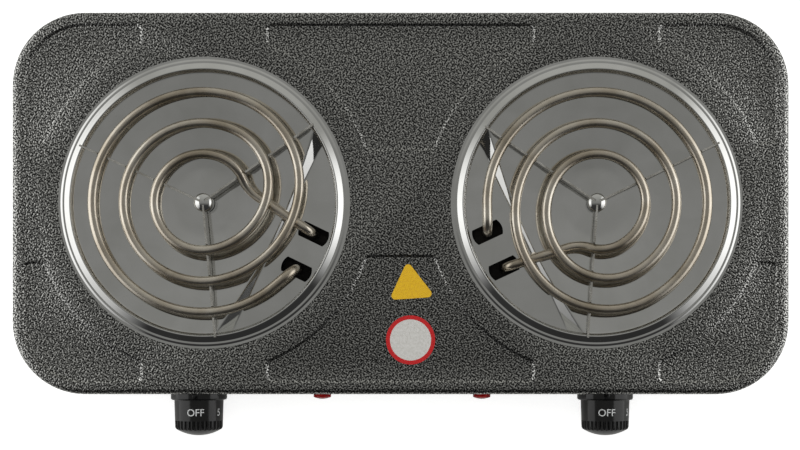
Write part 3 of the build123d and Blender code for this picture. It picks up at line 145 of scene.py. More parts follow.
def surface(add: Adder, tint: Any, stops: tuple, worn: Any, rough: tuple, relief: tuple = ()) -> dict:
    """Colour, roughness and relief that follow patterns.

    Args:
        add: Adds a node to the material.
        tint: Pattern that the colour follows.
        stops: Places along that pattern, with their hex colours.
        worn: Pattern that the roughness follows.
        rough: Roughness where that pattern is low and where it is high.
        relief: Pattern that stands up, its height in millimetres and its strength, or nothing.

    Returns:
        What feeds each input of the shader.
    """
    low, high = rough
    span = {"Value": worn, "From Min": 0.3, "From Max": 0.7, "To Min": low, "To Max": high}
    feeds = {
        "Base Color": add("ShaderNodeValToRGB", {"stops": stops}, {"Fac": tint}),
        "Roughness": add("ShaderNodeMapRange", inputs=span),
    }
    if relief:
        raised, height_mm, strength = relief
        bump = {"Height": raised, "Distance": height_mm * MM, "Strength": strength}
        feeds["Normal"] = add("ShaderNodeBump", inputs=bump)
    return feeds


@dataclass(frozen=True)
class Finish:
    """A surface finish that makes its own node material once."""

    name: str

    def material(self) -> bpy.types.Material:
        """The finish's material, made on first use."""
        found = bpy.data.materials.get(self.name)
        if found is None:
            found = bpy.data.materials.new(self.name)
            found.use_nodes = True
            tree = found.node_tree
            place = add_node(tree, "ShaderNodeTexCoord").outputs["Object"]
            feed(tree, tree.nodes["Principled BSDF"], self.paint(partial(add_node, tree), place))
        return found

    def paint(self, add: Adder, place: Any) -> dict:
        """Build the nodes of the finish.

        Args:
            add: Adds a node to the material.
            place: Output with the piece's own coordinates, in metres.

        Returns:
            What feeds each input of the shader.
        """
        raise NotImplementedError


@dataclass(frozen=True)
class HammerEnamel(Finish):
    """Hammer-finish stoving enamel: fine silver islands between near-black veins, under a clear gloss."""

    cell_mm: float = 0.95
    turn: float = 0.55
    wall_top_mm: float = 58.0
    pit: str = "161616"
    body: str = "6e6e6c"
    crest: str = "d2d2ce"

    def paint(self, add: Adder, place: Any) -> dict:
        """Islands lie higher and shine more than the veins between them; see Finish.paint."""
        height = add("ShaderNodeSeparateXYZ", inputs={0: place}).outputs["Z"]
        turned = add("ShaderNodeMapping", inputs={"Vector": place, "Rotation": (0.0, 0.0, self.turn)})
        cells = pattern(turned, self.cell_mm, Detail=0.0)
        # The top takes a flat pattern, and the walls a solid one that doesn't smear down them.
        above = add("ShaderNodeTexNoise", {"noise_dimensions": "2D"}, cells)
        around = add("ShaderNodeTexNoise", inputs=cells)
        top = add("ShaderNodeMath", {"operation": "GREATER_THAN"}, {0: height, 1: self.wall_top_mm * MM})
        islands = add("ShaderNodeMapRange", inputs={"Value": top, "To Min": around, "To Max": above})
        stops = ((0.30, self.pit), (0.50, self.body), (0.70, self.crest))
        gloss = {"Metallic": 1.0, "Coat Weight": 0.3, "Coat Roughness": 0.14}
        return gloss | surface(add, islands, stops, islands, (0.36, 0.26), (islands, 0.4, 0.6))


@dataclass(frozen=True)
class Chrome(Finish):
    """Polished chrome plate on pressed steel: a mirror with faint waves and wiping haze."""

    tint: str = "e0e0de"
    hazed: str = "d5d5d2"
    haze_mm: float = 22.0
    wave_mm: float = 34.0

    def paint(self, add: Adder, place: Any) -> dict:
        """Mirror with slow waves from the press and patches of haze; see Finish.paint."""
        haze = add("ShaderNodeTexNoise", inputs=pattern(place, self.haze_mm, Detail=4.0, Distortion=0.6))
        waves = add("ShaderNodeTexNoise", inputs=pattern(place, self.wave_mm, Detail=1.0))
        stops = ((0.30, self.hazed), (0.70, self.tint))
        return {"Metallic": 1.0} | surface(add, haze, stops, haze, (0.045, 0.10), (waves, 0.35, 0.2))


@dataclass(frozen=True)
class BrownedSheath(Finish):
    """Nickel-alloy tube, drawn and annealed: satin, straw to tea-brown, with fine draw lines along it."""

    pale: str = "e0d9cc"
    brown: str = "ccc2b2"
    scorched: str = "b1a694"
    patch_mm: float = 26.0
    draw: tuple[float, float, float] = (6.4, 6.4, 90.0)

    def paint(self, add: Adder, place: Any) -> dict:
        """Heat tints in slow patches, and draw lines along the tube's own length; see Finish.paint."""
        tint = add("ShaderNodeTexNoise", inputs=pattern(place, self.patch_mm, Detail=3.0, Distortion=0.4))
        along = add("ShaderNodeAttribute", {"attribute_name": "tube_uv"}).outputs["Vector"]
        drawn = add("ShaderNodeMapping", inputs={"Vector": along, "Scale": self.draw})
        lines = add("ShaderNodeTexNoise", inputs={"Vector": drawn, "Scale": 1.0, "Detail": 3.0})
        stops = ((0.30, self.scorched), (0.46, self.brown), (0.68, self.pale))
        return {"Metallic": 1.0} | surface(add, tint, stops, lines, (0.24, 0.31), (lines, 0.01, 0.2))


@dataclass(frozen=True)
class Steel(Finish):
    """Bare or plated steel, or steel darkened as painted shade: rolled grain along one way and cloudy
    plating.
    """

    pale: str = "c9c9c6"
    dull: str = "9b9a95"
    rough: float = 0.28
    cloud_mm: float = 9.0
    grain_mm: float = 0.5
    stretch: float = 9.0
    relief_mm: float = 0.02
    metal: float = 1.0

    def paint(self, add: Adder, place: Any) -> dict:
        """Cloudy plating over fine rolled grain, drawn coarse enough to show; see Finish.paint."""
        clouds = add("ShaderNodeTexNoise", inputs=pattern(place, self.cloud_mm, Detail=4.0, Distortion=0.8))
        across = (1.0, self.stretch, self.stretch)
        rolled = add("ShaderNodeMapping", inputs={"Vector": place, "Scale": across})
        lines = add("ShaderNodeTexNoise", inputs=pattern(rolled, self.stretch * self.grain_mm, Detail=2.0))
        stops = ((0.32, self.dull), (0.66, self.pale))
        rough = (self.rough - 0.06, self.rough + 0.10)
        look = surface(add, clouds, stops, lines, rough, (lines, self.relief_mm, 0.3))
        return {"Metallic": self.metal} | look


@dataclass(frozen=True)
class Spangle(Finish):
    """Hot-dip zinc sheet: crystal spangle a few millimetres across, each plate tilted a little."""

    cell_mm: float = 7.0
    bloom_mm: float = 5.0

    def paint(self, add: Adder, place: Any) -> dict:
        """Cells of different greys with soft ridges between them; see Finish.paint."""
        bloom = add("ShaderNodeTexNoise", inputs=pattern(place, self.bloom_mm))
        cells = add("ShaderNodeTexVoronoi", inputs=pattern(place, self.cell_mm))
        stops = ((0.15, "8d9092"), (0.50, "a5a7a8"), (0.85, "c2c3c3"))
        look = surface(add, cells.outputs["Color"], stops, bloom, (0.30, 0.46), (cells, 0.03, 0.25))
        return {"Metallic": 0.9} | look


@dataclass(frozen=True)
class MouldedPlastic(Finish):
    """Injection-moulded plastic: even colour with faint flow clouds and the mould's fine peel."""

    colour: str = "090909"
    cloud: str = "111111"
    rough: float = 0.10
    cloud_mm: float = 7.0
    peel_mm: float = 0.9

    def paint(self, add: Adder, place: Any) -> dict:
        """Flow clouds, handling haze and a shallow orange peel; see Finish.paint."""
        clouds = add("ShaderNodeTexNoise", inputs=pattern(place, self.cloud_mm, Detail=4.0, Distortion=0.5))
        peel = add("ShaderNodeTexNoise", inputs=pattern(place, self.peel_mm))
        stops = ((0.35, self.colour), (0.72, self.cloud))
        rough = (self.rough, self.rough + 0.1)
        return {"IOR": 1.52} | surface(add, clouds, stops, clouds, rough, (peel, 0.02, 0.2))


@dataclass(frozen=True)
class Clear(Finish):
    """Clear lens or bulb: light passes part way through, and a swirl or haze shifts the tint."""

    deep: str
    bright: str
    swirl_mm: float
    swirl: float
    rough: tuple[float, float]
    ior: float
    passing: float

    def paint(self, add: Adder, place: Any) -> dict:
        """Tint and gloss that drift over a few millimetres; see Finish.paint."""
        drift = add("ShaderNodeTexNoise", inputs=pattern(place, self.swirl_mm, Distortion=self.swirl))
        stops = ((0.30, self.deep), (0.70, self.bright))
        through = {"IOR": self.ior, "Transmission Weight": self.passing}
        return through | surface(add, drift, stops, drift, self.rough)


@dataclass(frozen=True)
class Speckled(Finish):
    """Matt material with fine speckle: rubber, ceramic or tarnished brass, by its colours."""

    base: str = "1b1b1b"
    fleck: str = "2b2a29"
    rough: float = 0.7
    grain_mm: float = 0.8
    metal: float = 0.0

    def paint(self, add: Adder, place: Any) -> dict:
        """Speckle in colour, roughness and relief from one grain; see Finish.paint."""
        grain = add("ShaderNodeTexNoise", inputs=pattern(place, self.grain_mm, Detail=3.0))
        stops = ((0.36, self.base), (0.64, self.fleck))
        rough = (self.rough - 0.08, self.rough + 0.10)
        return {"Metallic": self.metal} | surface(add, grain, stops, grain, rough, (grain, 0.05, 0.3))


@dataclass(frozen=True)
class WovenSleeve(Finish):
    """Braided glass-fibre sleeve: crossing bands of yarn a few millimetres wide."""

    colour: str = "d8d2c4"
    gap: str = "8d8676"
    band_mm: float = 4.4
    slants: tuple[float, float] = (45.0, -45.0)

    def paint(self, add: Adder, place: Any) -> dict:
        """Two sets of slanting yarns multiplied into a braid; see Finish.paint."""
        sets = {}
        for index, slant in enumerate(self.slants):
            lean = (math.radians(slant),) * 3
            turned = add("ShaderNodeMapping", inputs={"Vector": place, "Rotation": lean})
            # A wave runs through twenty radians in one unit of its scale.
            yarns = pattern(turned, 20 * self.band_mm / (2 * math.pi), Distortion=0.6)
            sets[index] = add("ShaderNodeTexWave", inputs=yarns).outputs["Fac"]
        braid = add("ShaderNodeMath", {"operation": "MULTIPLY"}, sets)
        stops = ((0.10, self.gap), (0.60, self.colour))
        relief = {"Height": braid, "Distance": 0.1 * MM, "Strength": 0.5}
        return {
            "Base Color": add("ShaderNodeValToRGB", {"stops": stops}, {"Fac": braid}),
            "Roughness": 0.75,
            "Normal": add("ShaderNodeBump", inputs=relief),
        }


@dataclass(frozen=True)
class PrintedVinyl(Finish):
    """Self-adhesive vinyl, printed and clear-coated: even ink with faint press mottle."""

    ink: str = "ffcd1a"
    mottle: str = "f5c012"
    mottle_mm: float = 1.6
    ripple_mm: float = 1.9

    def paint(self, add: Adder, place: Any) -> dict:
        """Ink mottle and a soft ripple from the surface below; see Finish.paint."""
        mottle = add("ShaderNodeTexNoise", inputs=pattern(place, self.mottle_mm, Detail=3.0))
        ripple = add("ShaderNodeTexNoise", inputs=pattern(place, self.ripple_mm, Distortion=0.6))
        stops = ((0.34, self.mottle), (0.62, self.ink))
        return surface(add, mottle, stops, mottle, (0.30, 0.44), (ripple, 0.05, 0.25))


# Dark silver paint that sparkles in fine grains.
HAMMER = HammerEnamel("hammer_enamel")
# Mirror bowls and buttons that carry the room and the coil.
PAN_CHROME = Chrome("pan_mirror_chrome")
# Warm metal tube, cream at its edges and brown-grey along its top.
SHEATH = BrownedSheath("browned_sheath")
# Bright sheared strip of the spiders.
STRIP = Steel("bright_strip_steel", pale="d4d2cc", dull="aaa79f", rough=0.24, relief_mm=0.006, metal=0.8)
# Pale plated fasteners and frames.
ZINC = Steel("bright_zinc", pale="d2d3d2", dull="aeb0af", rough=0.25)
# Brackets painted near-black as painted shade, so that the leg slots look deep and dark.
SLOT_SHADE_STEEL = Steel("slot_shade_dark_steel", pale="3c3a38", dull="262523", rough=0.5)
# Crystal-patterned grey sheet underneath.
SPANGLE = Spangle("zinc_spangle")
# Glossy black of knobs and bezels.
BLACK = MouldedPlastic("gloss_black_moulding")
# Matt white printing on the knobs.
INK = MouldedPlastic("white_pad_print", colour="e4e6e6", cloud="f1f2f2", rough=0.45, peel_mm=0.5)
# Bright red lamp lenses.
RED_LENS = Clear(
    "red_acrylic_lens",
    deep="c41218",
    bright="f2322c",
    swirl_mm=3.5,
    swirl=1.2,
    rough=(0.06, 0.16),
    ior=1.49,
    passing=0.25,
)
# Clear bulbs behind the lenses.
BULB = Clear(
    "bulb_glass_clear",
    deep="e6e2d8",
    bright="f7f6f2",
    swirl_mm=4.0,
    swirl=0.0,
    rough=(0.03, 0.12),
    ior=1.5,
    passing=0.8,
)
# Dull black feet and inlet bush.
RUBBER = Speckled("black_rubber")
# Brown-gold terminals.
BRASS = Speckled("tarnished_brass", base="9a7434", fleck="c9a45a", rough=0.34, grain_mm=1.4, metal=1.0)
# Chalky cream insulators.
CERAMIC = Speckled("unglazed_steatite", base="cfc8b8", fleck="e4dfd2", rough=0.78, grain_mm=0.6)
# Three flat ink colours of the stickers.
YELLOW = PrintedVinyl("yellow_vinyl")
RED = PrintedVinyl("red_vinyl", ink="dc1419", mottle="c90f15")
WHITE = PrintedVinyl("white_vinyl", ink="eceae6", mottle="dddbd5")
# Braided sleeves, each wire in its own colour.
SLEEVES = {
    "live_wires": WovenSleeve("brown_sleeve", colour="6e4a35", gap="3c261a"),
    "neutral_wires": WovenSleeve("blue_sleeve", colour="4a66a0", gap="26365c"),
    "switched_wires": WovenSleeve("white_sleeve"),
    "earth_wire": WovenSleeve("green_sleeve", colour="6d9a48", gap="39521f"),
    "lamp_leads": WovenSleeve("pale_sleeve", colour="cfc9ba", gap="847d6e"),
}


def smooth(mesh: bpy.types.Mesh, sharp_degrees: float = 32.0) -> bpy.types.Mesh:
    """Shade a mesh smooth.

    Args:
        mesh: Mesh to shade.
        sharp_degrees: Angle past which an edge stays sharp.

    Returns:
        The same mesh.
    """
    mesh.polygons.foreach_set("use_smooth", [True] * len(mesh.polygons))
    mesh.set_sharp_from_angle(angle=math.radians(sharp_degrees))
    mesh.update()
    return mesh


def new_object(name: str, data: Any) -> bpy.types.Object:
    """Make an object in the scene.

    Args:
        name: Name of the object.
        data: Its mesh, curve, light or camera.

    Returns:
        The new object.
    """
    made = bpy.data.objects.new(name, data)
    bpy.context.scene.collection.objects.link(made)
    return made


def place_piece(
    name: str, mesh: bpy.types.Mesh, finish: Finish, body: Body, nodes: Iterable[str] = ()
) -> None:
    """Make a finished mesh a piece of the object.

    Args:
        name: Name of the piece.
        mesh: Its mesh, in place in the shared frame.
        finish: Finish for the whole of it.
        body: Body that it moves with.
        nodes: Solids that it stands for.
    """
    piece = new_object(name, mesh)
    mesh.materials.clear()
    mesh.materials.append(finish.material())
    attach(piece, body.value)
    if nodes:
        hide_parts(*nodes)
    LOG.info("%s: %d faces, rides on %s", name, len(mesh.polygons), body.value)


def edited(mesh: bpy.types.Mesh, change: Callable[[bmesh.types.BMesh], None]) -> bpy.types.Mesh:
    """Change a mesh by way of a bmesh.

    Args:
        mesh: Mesh to change.
        change: Function that changes the bmesh.

    Returns:
        The same mesh.
    """
    shape = bmesh.new()
    shape.from_mesh(mesh)
    change(shape)
    shape.to_mesh(mesh)
    shape.free()
    return mesh


def mesh_from(name: str, build: Callable[[bmesh.types.BMesh], None]) -> bpy.types.Mesh:
    """Make a mesh with a function that fills a bmesh.

    Args:
        name: Name of the mesh.
        build: Function that adds its vertices and faces.

    Returns:
        The mesh, with normals that point outward.
    """

    def fill(shape: bmesh.types.BMesh) -> None:
        """Build the faces, join them and turn them outward."""
        build(shape)
        bmesh.ops.remove_doubles(shape, verts=shape.verts, dist=BUILT_JOIN)
        bmesh.ops.recalc_face_normals(shape, faces=shape.faces)

    return edited(bpy.data.meshes.new(name), fill)


def bridge(shape: bmesh.types.BMesh, near: Sequence, far: Sequence) -> None:
    """Join two closed rings of vertices with a band of faces.

    Args:
        shape: The bmesh.
        near: First ring, or a single tip.
        far: Second ring, or a single tip.
    """
    count = max(len(near), len(far))
    for k in range(count):
        n = (k + 1) % count
        corners = (near[k % len(near)], near[n % len(near)], far[n % len(far)], far[k % len(far)])
        shape.faces.new(tuple(dict.fromkeys(corners)))


def evaluated(data: Any, prepare: Callable[[bpy.types.Object], None] | None = None) -> bpy.types.Mesh:
    """Run modifiers on a mesh or curve and keep only the plain result.

    Args:
        data: Mesh or curve to start from.
        prepare: Function that adds the modifiers to a passing object, if any.

    Returns:
        The new mesh.
    """
    passing = new_object("passing", data)
    if prepare:
        prepare(passing)
    graph = bpy.context.evaluated_depsgraph_get()
    graph.update()
    result = bpy.data.meshes.new_from_object(passing.evaluated_get(graph))
    bpy.data.objects.remove(passing)
    return result


def merged_copy(node: str, sharp_degrees: float = 32.0) -> bpy.types.Mesh:
    """Copy a solid's mesh, with its loose triangles joined and shaded smooth.

    Args:
        node: Name of the solid's node.
        sharp_degrees: Angle past which an edge stays sharp.

    Returns:
        The new mesh.
    """
    shape = bmesh.new()
    shape.from_mesh(frame["nodes"][node].data)
    bmesh.ops.remove_doubles(shape, verts=shape.verts, dist=SOLID_JOIN)
    mesh = bpy.data.meshes.new(f"{node}_joined")
    shape.to_mesh(mesh)
    shape.free()
    return smooth(mesh, sharp_degrees)


def dress(name: str, node: str, finish: Finish) -> None:
    """Hand over a fixed piece that keeps its solid's shape; see place_piece."""
    place_piece(name, merged_copy(node), finish, Body.HOUSING, [node])


def bent_points(corners: Sequence[Vector], radii: Sequence[float], step: float) -> Points:
    """Points along straight runs joined by tangent arcs.

    Args:
        corners: Corners of the line.
        radii: Bend radius at each inner corner.
        step: Longest distance between points.

    Returns:
        Points from the first corner to the last.
    """
    line = [corners[0].copy()]

    def run_to(end: Vector) -> None:
        """Add points on a straight run."""
        start = line[-1]
        count = max(1, math.ceil((end - start).length / step))
        line.extend(start.lerp(end, k / count) for k in range(1, count + 1))

    for before, corner, after, radius in zip(corners, corners[1:], corners[2:], radii):
        way_in = (corner - before).normalized()
        way_out = (after - corner).normalized()
        turn = way_in.angle(way_out)
        inside = (way_out - way_in).normalized()
        centre = corner + inside * radius / math.cos(turn / 2)
        start = corner - way_in * radius * math.tan(turn / 2)
        if (start - line[-1]).length > LEAST_RUN:
            run_to(start)
        axis = way_in.cross(way_out).normalized()
        count = max(LEAST_BEND_STEPS, math.ceil(radius * turn / step))
        arm = start - centre
        line.extend(centre + Matrix.Rotation(turn * k / count, 3, axis) @ arm for k in range(1, count + 1))
    if (corners[-1] - line[-1]).length > LEAST_RUN:
        run_to(corners[-1])
    return line


@dataclass(frozen=True)
class Station:
    """Place of one burner and its control, in millimetres."""

    side: Side
    heading: float
    x: float
    y: float = 12.2
    top: float = 62.0
    knob_x: float = 128.4
    front_y: float = -106.0
    knob_z: float = 34.0

    def to_frame(self, height: float) -> Matrix:
        """Matrix from the burner's own millimetres, at a height, to the shared frame in metres."""
        move = Matrix.Translation(Vector((self.x, self.y, height)) * MM)
        return move @ Matrix.Rotation(math.radians(self.heading), 4, "Z") @ Matrix.Scale(MM, 4)

    def control_frame(self) -> Matrix:
        """Matrix from the control's millimetres to metres: X across, Y up, Z out to the front."""
        place = Vector((self.side.value * self.knob_x, self.front_y, self.knob_z)) * MM
        return Matrix.Translation(place) @ Matrix.Rotation(math.radians(90), 4, "X") @ Matrix.Scale(MM, 4)


STATIONS = (Station(Side.LEFT, -25.8, -121.0), Station(Side.RIGHT, -155.0, 121.0))


@dataclass
class Housing:
    """Pressed cover with its feet and inlet bush; the soft edge in millimetres, angles in degrees."""

    soft_edge: float = 0.3
    soft_steps: int = 3
    soft_from: float = 18.0
    flat_within: float = 0.4
    drawn_sharp: float = 20.0
    cover_sharp: float = 35.0

    def cover(self) -> bpy.types.Mesh:
        """The pressing, with the rounded edges that deep drawing leaves."""

        def flatten(shape: bmesh.types.BMesh) -> None:
            """Join the triangles of each flat face."""
            flat = math.radians(self.flat_within)
            bmesh.ops.dissolve_limit(
                shape, angle_limit=flat, verts=shape.verts, edges=shape.edges, delimit={"NORMAL"}
            )

        def soften(piece: bpy.types.Object) -> None:
            """Round the edges of the sunken panels."""
            bevel = piece.modifiers.new("rounded", "BEVEL")
            bevel.width = self.soft_edge * MM
            bevel.segments = self.soft_steps
            bevel.limit_method = "ANGLE"
            bevel.angle_limit = math.radians(self.soft_from)
            bevel.use_clamp_overlap = True
            bevel.harden_normals = False

        mesh = edited(merged_copy("top_housing", self.drawn_sharp), flatten)
        return smooth(evaluated(mesh, soften), self.cover_sharp)

    def build(self) -> None:
        """Hand over the cover, its feet and its inlet bush."""
        place_piece("top_cover", self.cover(), HAMMER, Body.HOUSING, ["top_housing"])
        for corner in ("front_left", "front_right", "rear_left", "rear_right"):
            dress(f"foot_{corner}_rubber", f"foot_{corner}", RUBBER)
        dress("inlet_bush", "cord_gland", RUBBER)


@dataclass
class DripPan:
    """Chromed pan: lip, stepped rim, low wall, dished floor and a pocket with two slots, in millimetres."""

    station: Station
    lip_r: float = 90.0
    lip_width: float = 1.6
    step_width: float = 1.2
    step_rise: float = 0.5
    ledge_width: float = 1.4
    crest_r: float = 82.2
    crest_rise: float = 3.4
    floor_r: float = 81.6
    flat_r: float = 20.0
    edge_depth: float = 0.8
    centre_depth: float = 7.6
    sheet: float = 0.6
    grid_r: float = 77.0
    columns: int = 150
    rows: int = 64
    pocket_x: float = 40.8
    pocket_slope: float = 8.4
    pocket_depth: float = 6.0
    pocket_r: float = 80.7
    pocket_blend: float = 0.35
    slot_x: float = 68.5
    slot_y: float = 12.2
    slot_length: float = 16.4
    slot_width: float = 9.8
    slot_bow: float = 1.5
    bow_steps: int = 6
    bends: tuple[float, ...] = (1.0, 0.5, 1.0, 0.25, 1.6)
    point_step: float = 1.0
    crease_step: float = 0.3
    crease_span: tuple[int, int] = (-3, 31)
    plug_bottom: float = -16.72
    plug_height: float = 13.68
    sharp: float = 38.0

    def profile(self) -> Points:
        """Upper face from the lip to the axis, X out and Y up."""
        step = self.lip_r - self.lip_width
        ledge = step - self.step_width
        corners = (
            (self.lip_r, 0, 0),
            (step, 0, 0),
            (ledge, self.step_rise, 0),
            (ledge - self.ledge_width, self.step_rise, 0),
            (self.crest_r, self.crest_rise, 0),
            (self.floor_r, -self.edge_depth, 0),
            (self.flat_r, -self.centre_depth, 0),
            (0, -self.centre_depth, 0),
        )
        under = bent_points([Vector(p) for p in corners], (*self.bends, self.flat_r), self.point_step)
        upper = []
        for before, point, after in zip([under[0]] + under, under, under[1:] + [under[-1]]):
            way = (after - before).normalized()
            upper.append(point + Vector((way.y, -way.x, 0)) * self.sheet)
        return upper

    def height(self, rise: float, x: float, r: float) -> float:
        """Level of the upper face once the pocket is sunk into it.

        Args:
            rise: Level of the round pan there.
            x: Distance along the heading of the coil's legs.
            r: Distance from the pan's axis.

        Returns:
            The level, rounded where two faces meet.
        """
        if r > self.pocket_r:
            return rise
        pitch = (self.pocket_depth - self.edge_depth) / self.pocket_slope
        slope = self.sheet * math.hypot(1, pitch) - self.edge_depth - (x - self.pocket_x) * pitch
        sunk = self.blended(slope, self.sheet - self.pocket_depth)
        return -self.blended(-rise, -sunk)

    def blended(self, a: float, b: float) -> float:
        """Larger of two levels, with a rounded change from one to the other."""
        share = max(self.pocket_blend - abs(a - b), 0) / self.pocket_blend
        return max(a, b) + share * share * self.pocket_blend / 4

    def face(self, shape: bmesh.types.BMesh) -> None:
        """Fill a bmesh with the upper face: a floor of parallel columns and rings for the wall and rim.

        Args:
            shape: The bmesh.
        """
        profile = self.profile()
        edge = next(i for i, point in enumerate(profile) if point.x <= self.grid_r)
        border = profile[edge].x
        floor = [(point.x, point.y) for point in reversed(profile[edge:])]

        def floor_level(r: float) -> float:
            """Level of the round floor at a radius."""
            for (r0, z0), (r1, z1) in zip(floor, floor[1:]):
                if r <= r1:
                    return z0 + (z1 - z0) * (r - r0) / max(r1 - r0, LEAST_RUN)
            return floor[-1][1]

        even = [math.pi * k / self.columns for k in range(1, self.columns)]
        creases = [self.pocket_x + self.crease_step * k for k in range(*self.crease_span)]
        angles = sorted(even + [math.acos(x / border) for x in creases])

        def vertex(x: float, y: float, level: float) -> bmesh.types.BMVert:
            """Add one vertex, lowered where the pocket is."""
            return shape.verts.new((x, y, self.height(level, x, math.hypot(x, y))))

        tips = [vertex(border, 0, floor_level(border)), vertex(-border, 0, floor_level(border))]
        grid = []
        for angle in angles:
            x = border * math.cos(angle)
            reach = border * math.sin(angle)
            column = [reach * (2 * k / self.rows - 1) for k in range(self.rows + 1)]
            grid.append([vertex(x, y, floor_level(math.hypot(x, y))) for y in column])
        for tip, column in ((tips[0], grid[0]), (tips[1], grid[-1])):
            for a, b in zip(column, column[1:]):
                shape.faces.new((tip, a, b))
        for near, far in zip(grid, grid[1:]):
            for k in range(self.rows):
                shape.faces.new((near[k], near[k + 1], far[k + 1], far[k]))
        ring = [tips[0]] + [c[-1] for c in grid] + [tips[1]] + [c[0] for c in reversed(grid)]
        bearings = [0.0] + angles + [math.pi] + [-a for a in reversed(angles)]
        for point in reversed(profile[:edge]):
            outer = [vertex(point.x * math.cos(a), point.x * math.sin(a), point.y) for a in bearings]
            bridge(shape, ring, outer)
            ring = outer

    def slots(self, shape: bmesh.types.BMesh) -> None:
        """Fill a bmesh with two plugs for the legs' slots, straight at the sides and bowed at the ends.

        Args:
            shape: The bmesh.
        """
        half = self.slot_width / 2
        bow_r = (half**2 + self.slot_bow**2) / (2 * self.slot_bow)
        sweep = math.asin(half / bow_r)
        for side in (-1, 1):
            outline = []
            for end in (1, -1):
                middle = self.slot_x + end * (self.slot_length / 2 + self.slot_bow - bow_r)
                for k in range(-self.bow_steps, self.bow_steps + 1):
                    angle = sweep * k / self.bow_steps
                    x = middle + end * bow_r * math.cos(angle)
                    outline.append((x, side * self.slot_y + end * bow_r * math.sin(angle)))
            low = [shape.verts.new((x, y, self.plug_bottom)) for x, y in outline]
            bottom = shape.faces.new(low)
            grown = bmesh.ops.extrude_face_region(shape, geom=[bottom])
            lifted = [v for v in grown["geom"] if isinstance(v, bmesh.types.BMVert)]
            bmesh.ops.translate(shape, verts=lifted, vec=(0, 0, self.plug_height))

    def build(self) -> None:
        """Give the face its thickness, pierce the slots and hand the pan over."""
        face = mesh_from("pan_face", self.face)
        if sum(p.normal.z for p in face.polygons) < 0:
            face.flip_normals()
        plug = new_object("slot_plug", mesh_from("slot_plug", self.slots))

        def finish_sheet(piece: bpy.types.Object) -> None:
            """Thicken the face downward and pierce it."""
            wall = piece.modifiers.new("sheet", "SOLIDIFY")
            wall.thickness = self.sheet
            wall.offset = -1
            wall.use_even_offset = True
            cut = piece.modifiers.new("slots", "BOOLEAN")
            cut.object = plug
            cut.operation = "DIFFERENCE"
            cut.solver = "EXACT"

        mesh = evaluated(face, finish_sheet)
        bpy.data.objects.remove(plug)
        mesh.transform(self.station.to_frame(self.station.top))
        word = self.station.side.word
        pan = smooth(mesh, self.sharp)
        place_piece(f"{word}_pan", pan, PAN_CHROME, Body.HOUSING, [f"{word}_drip_pan"])


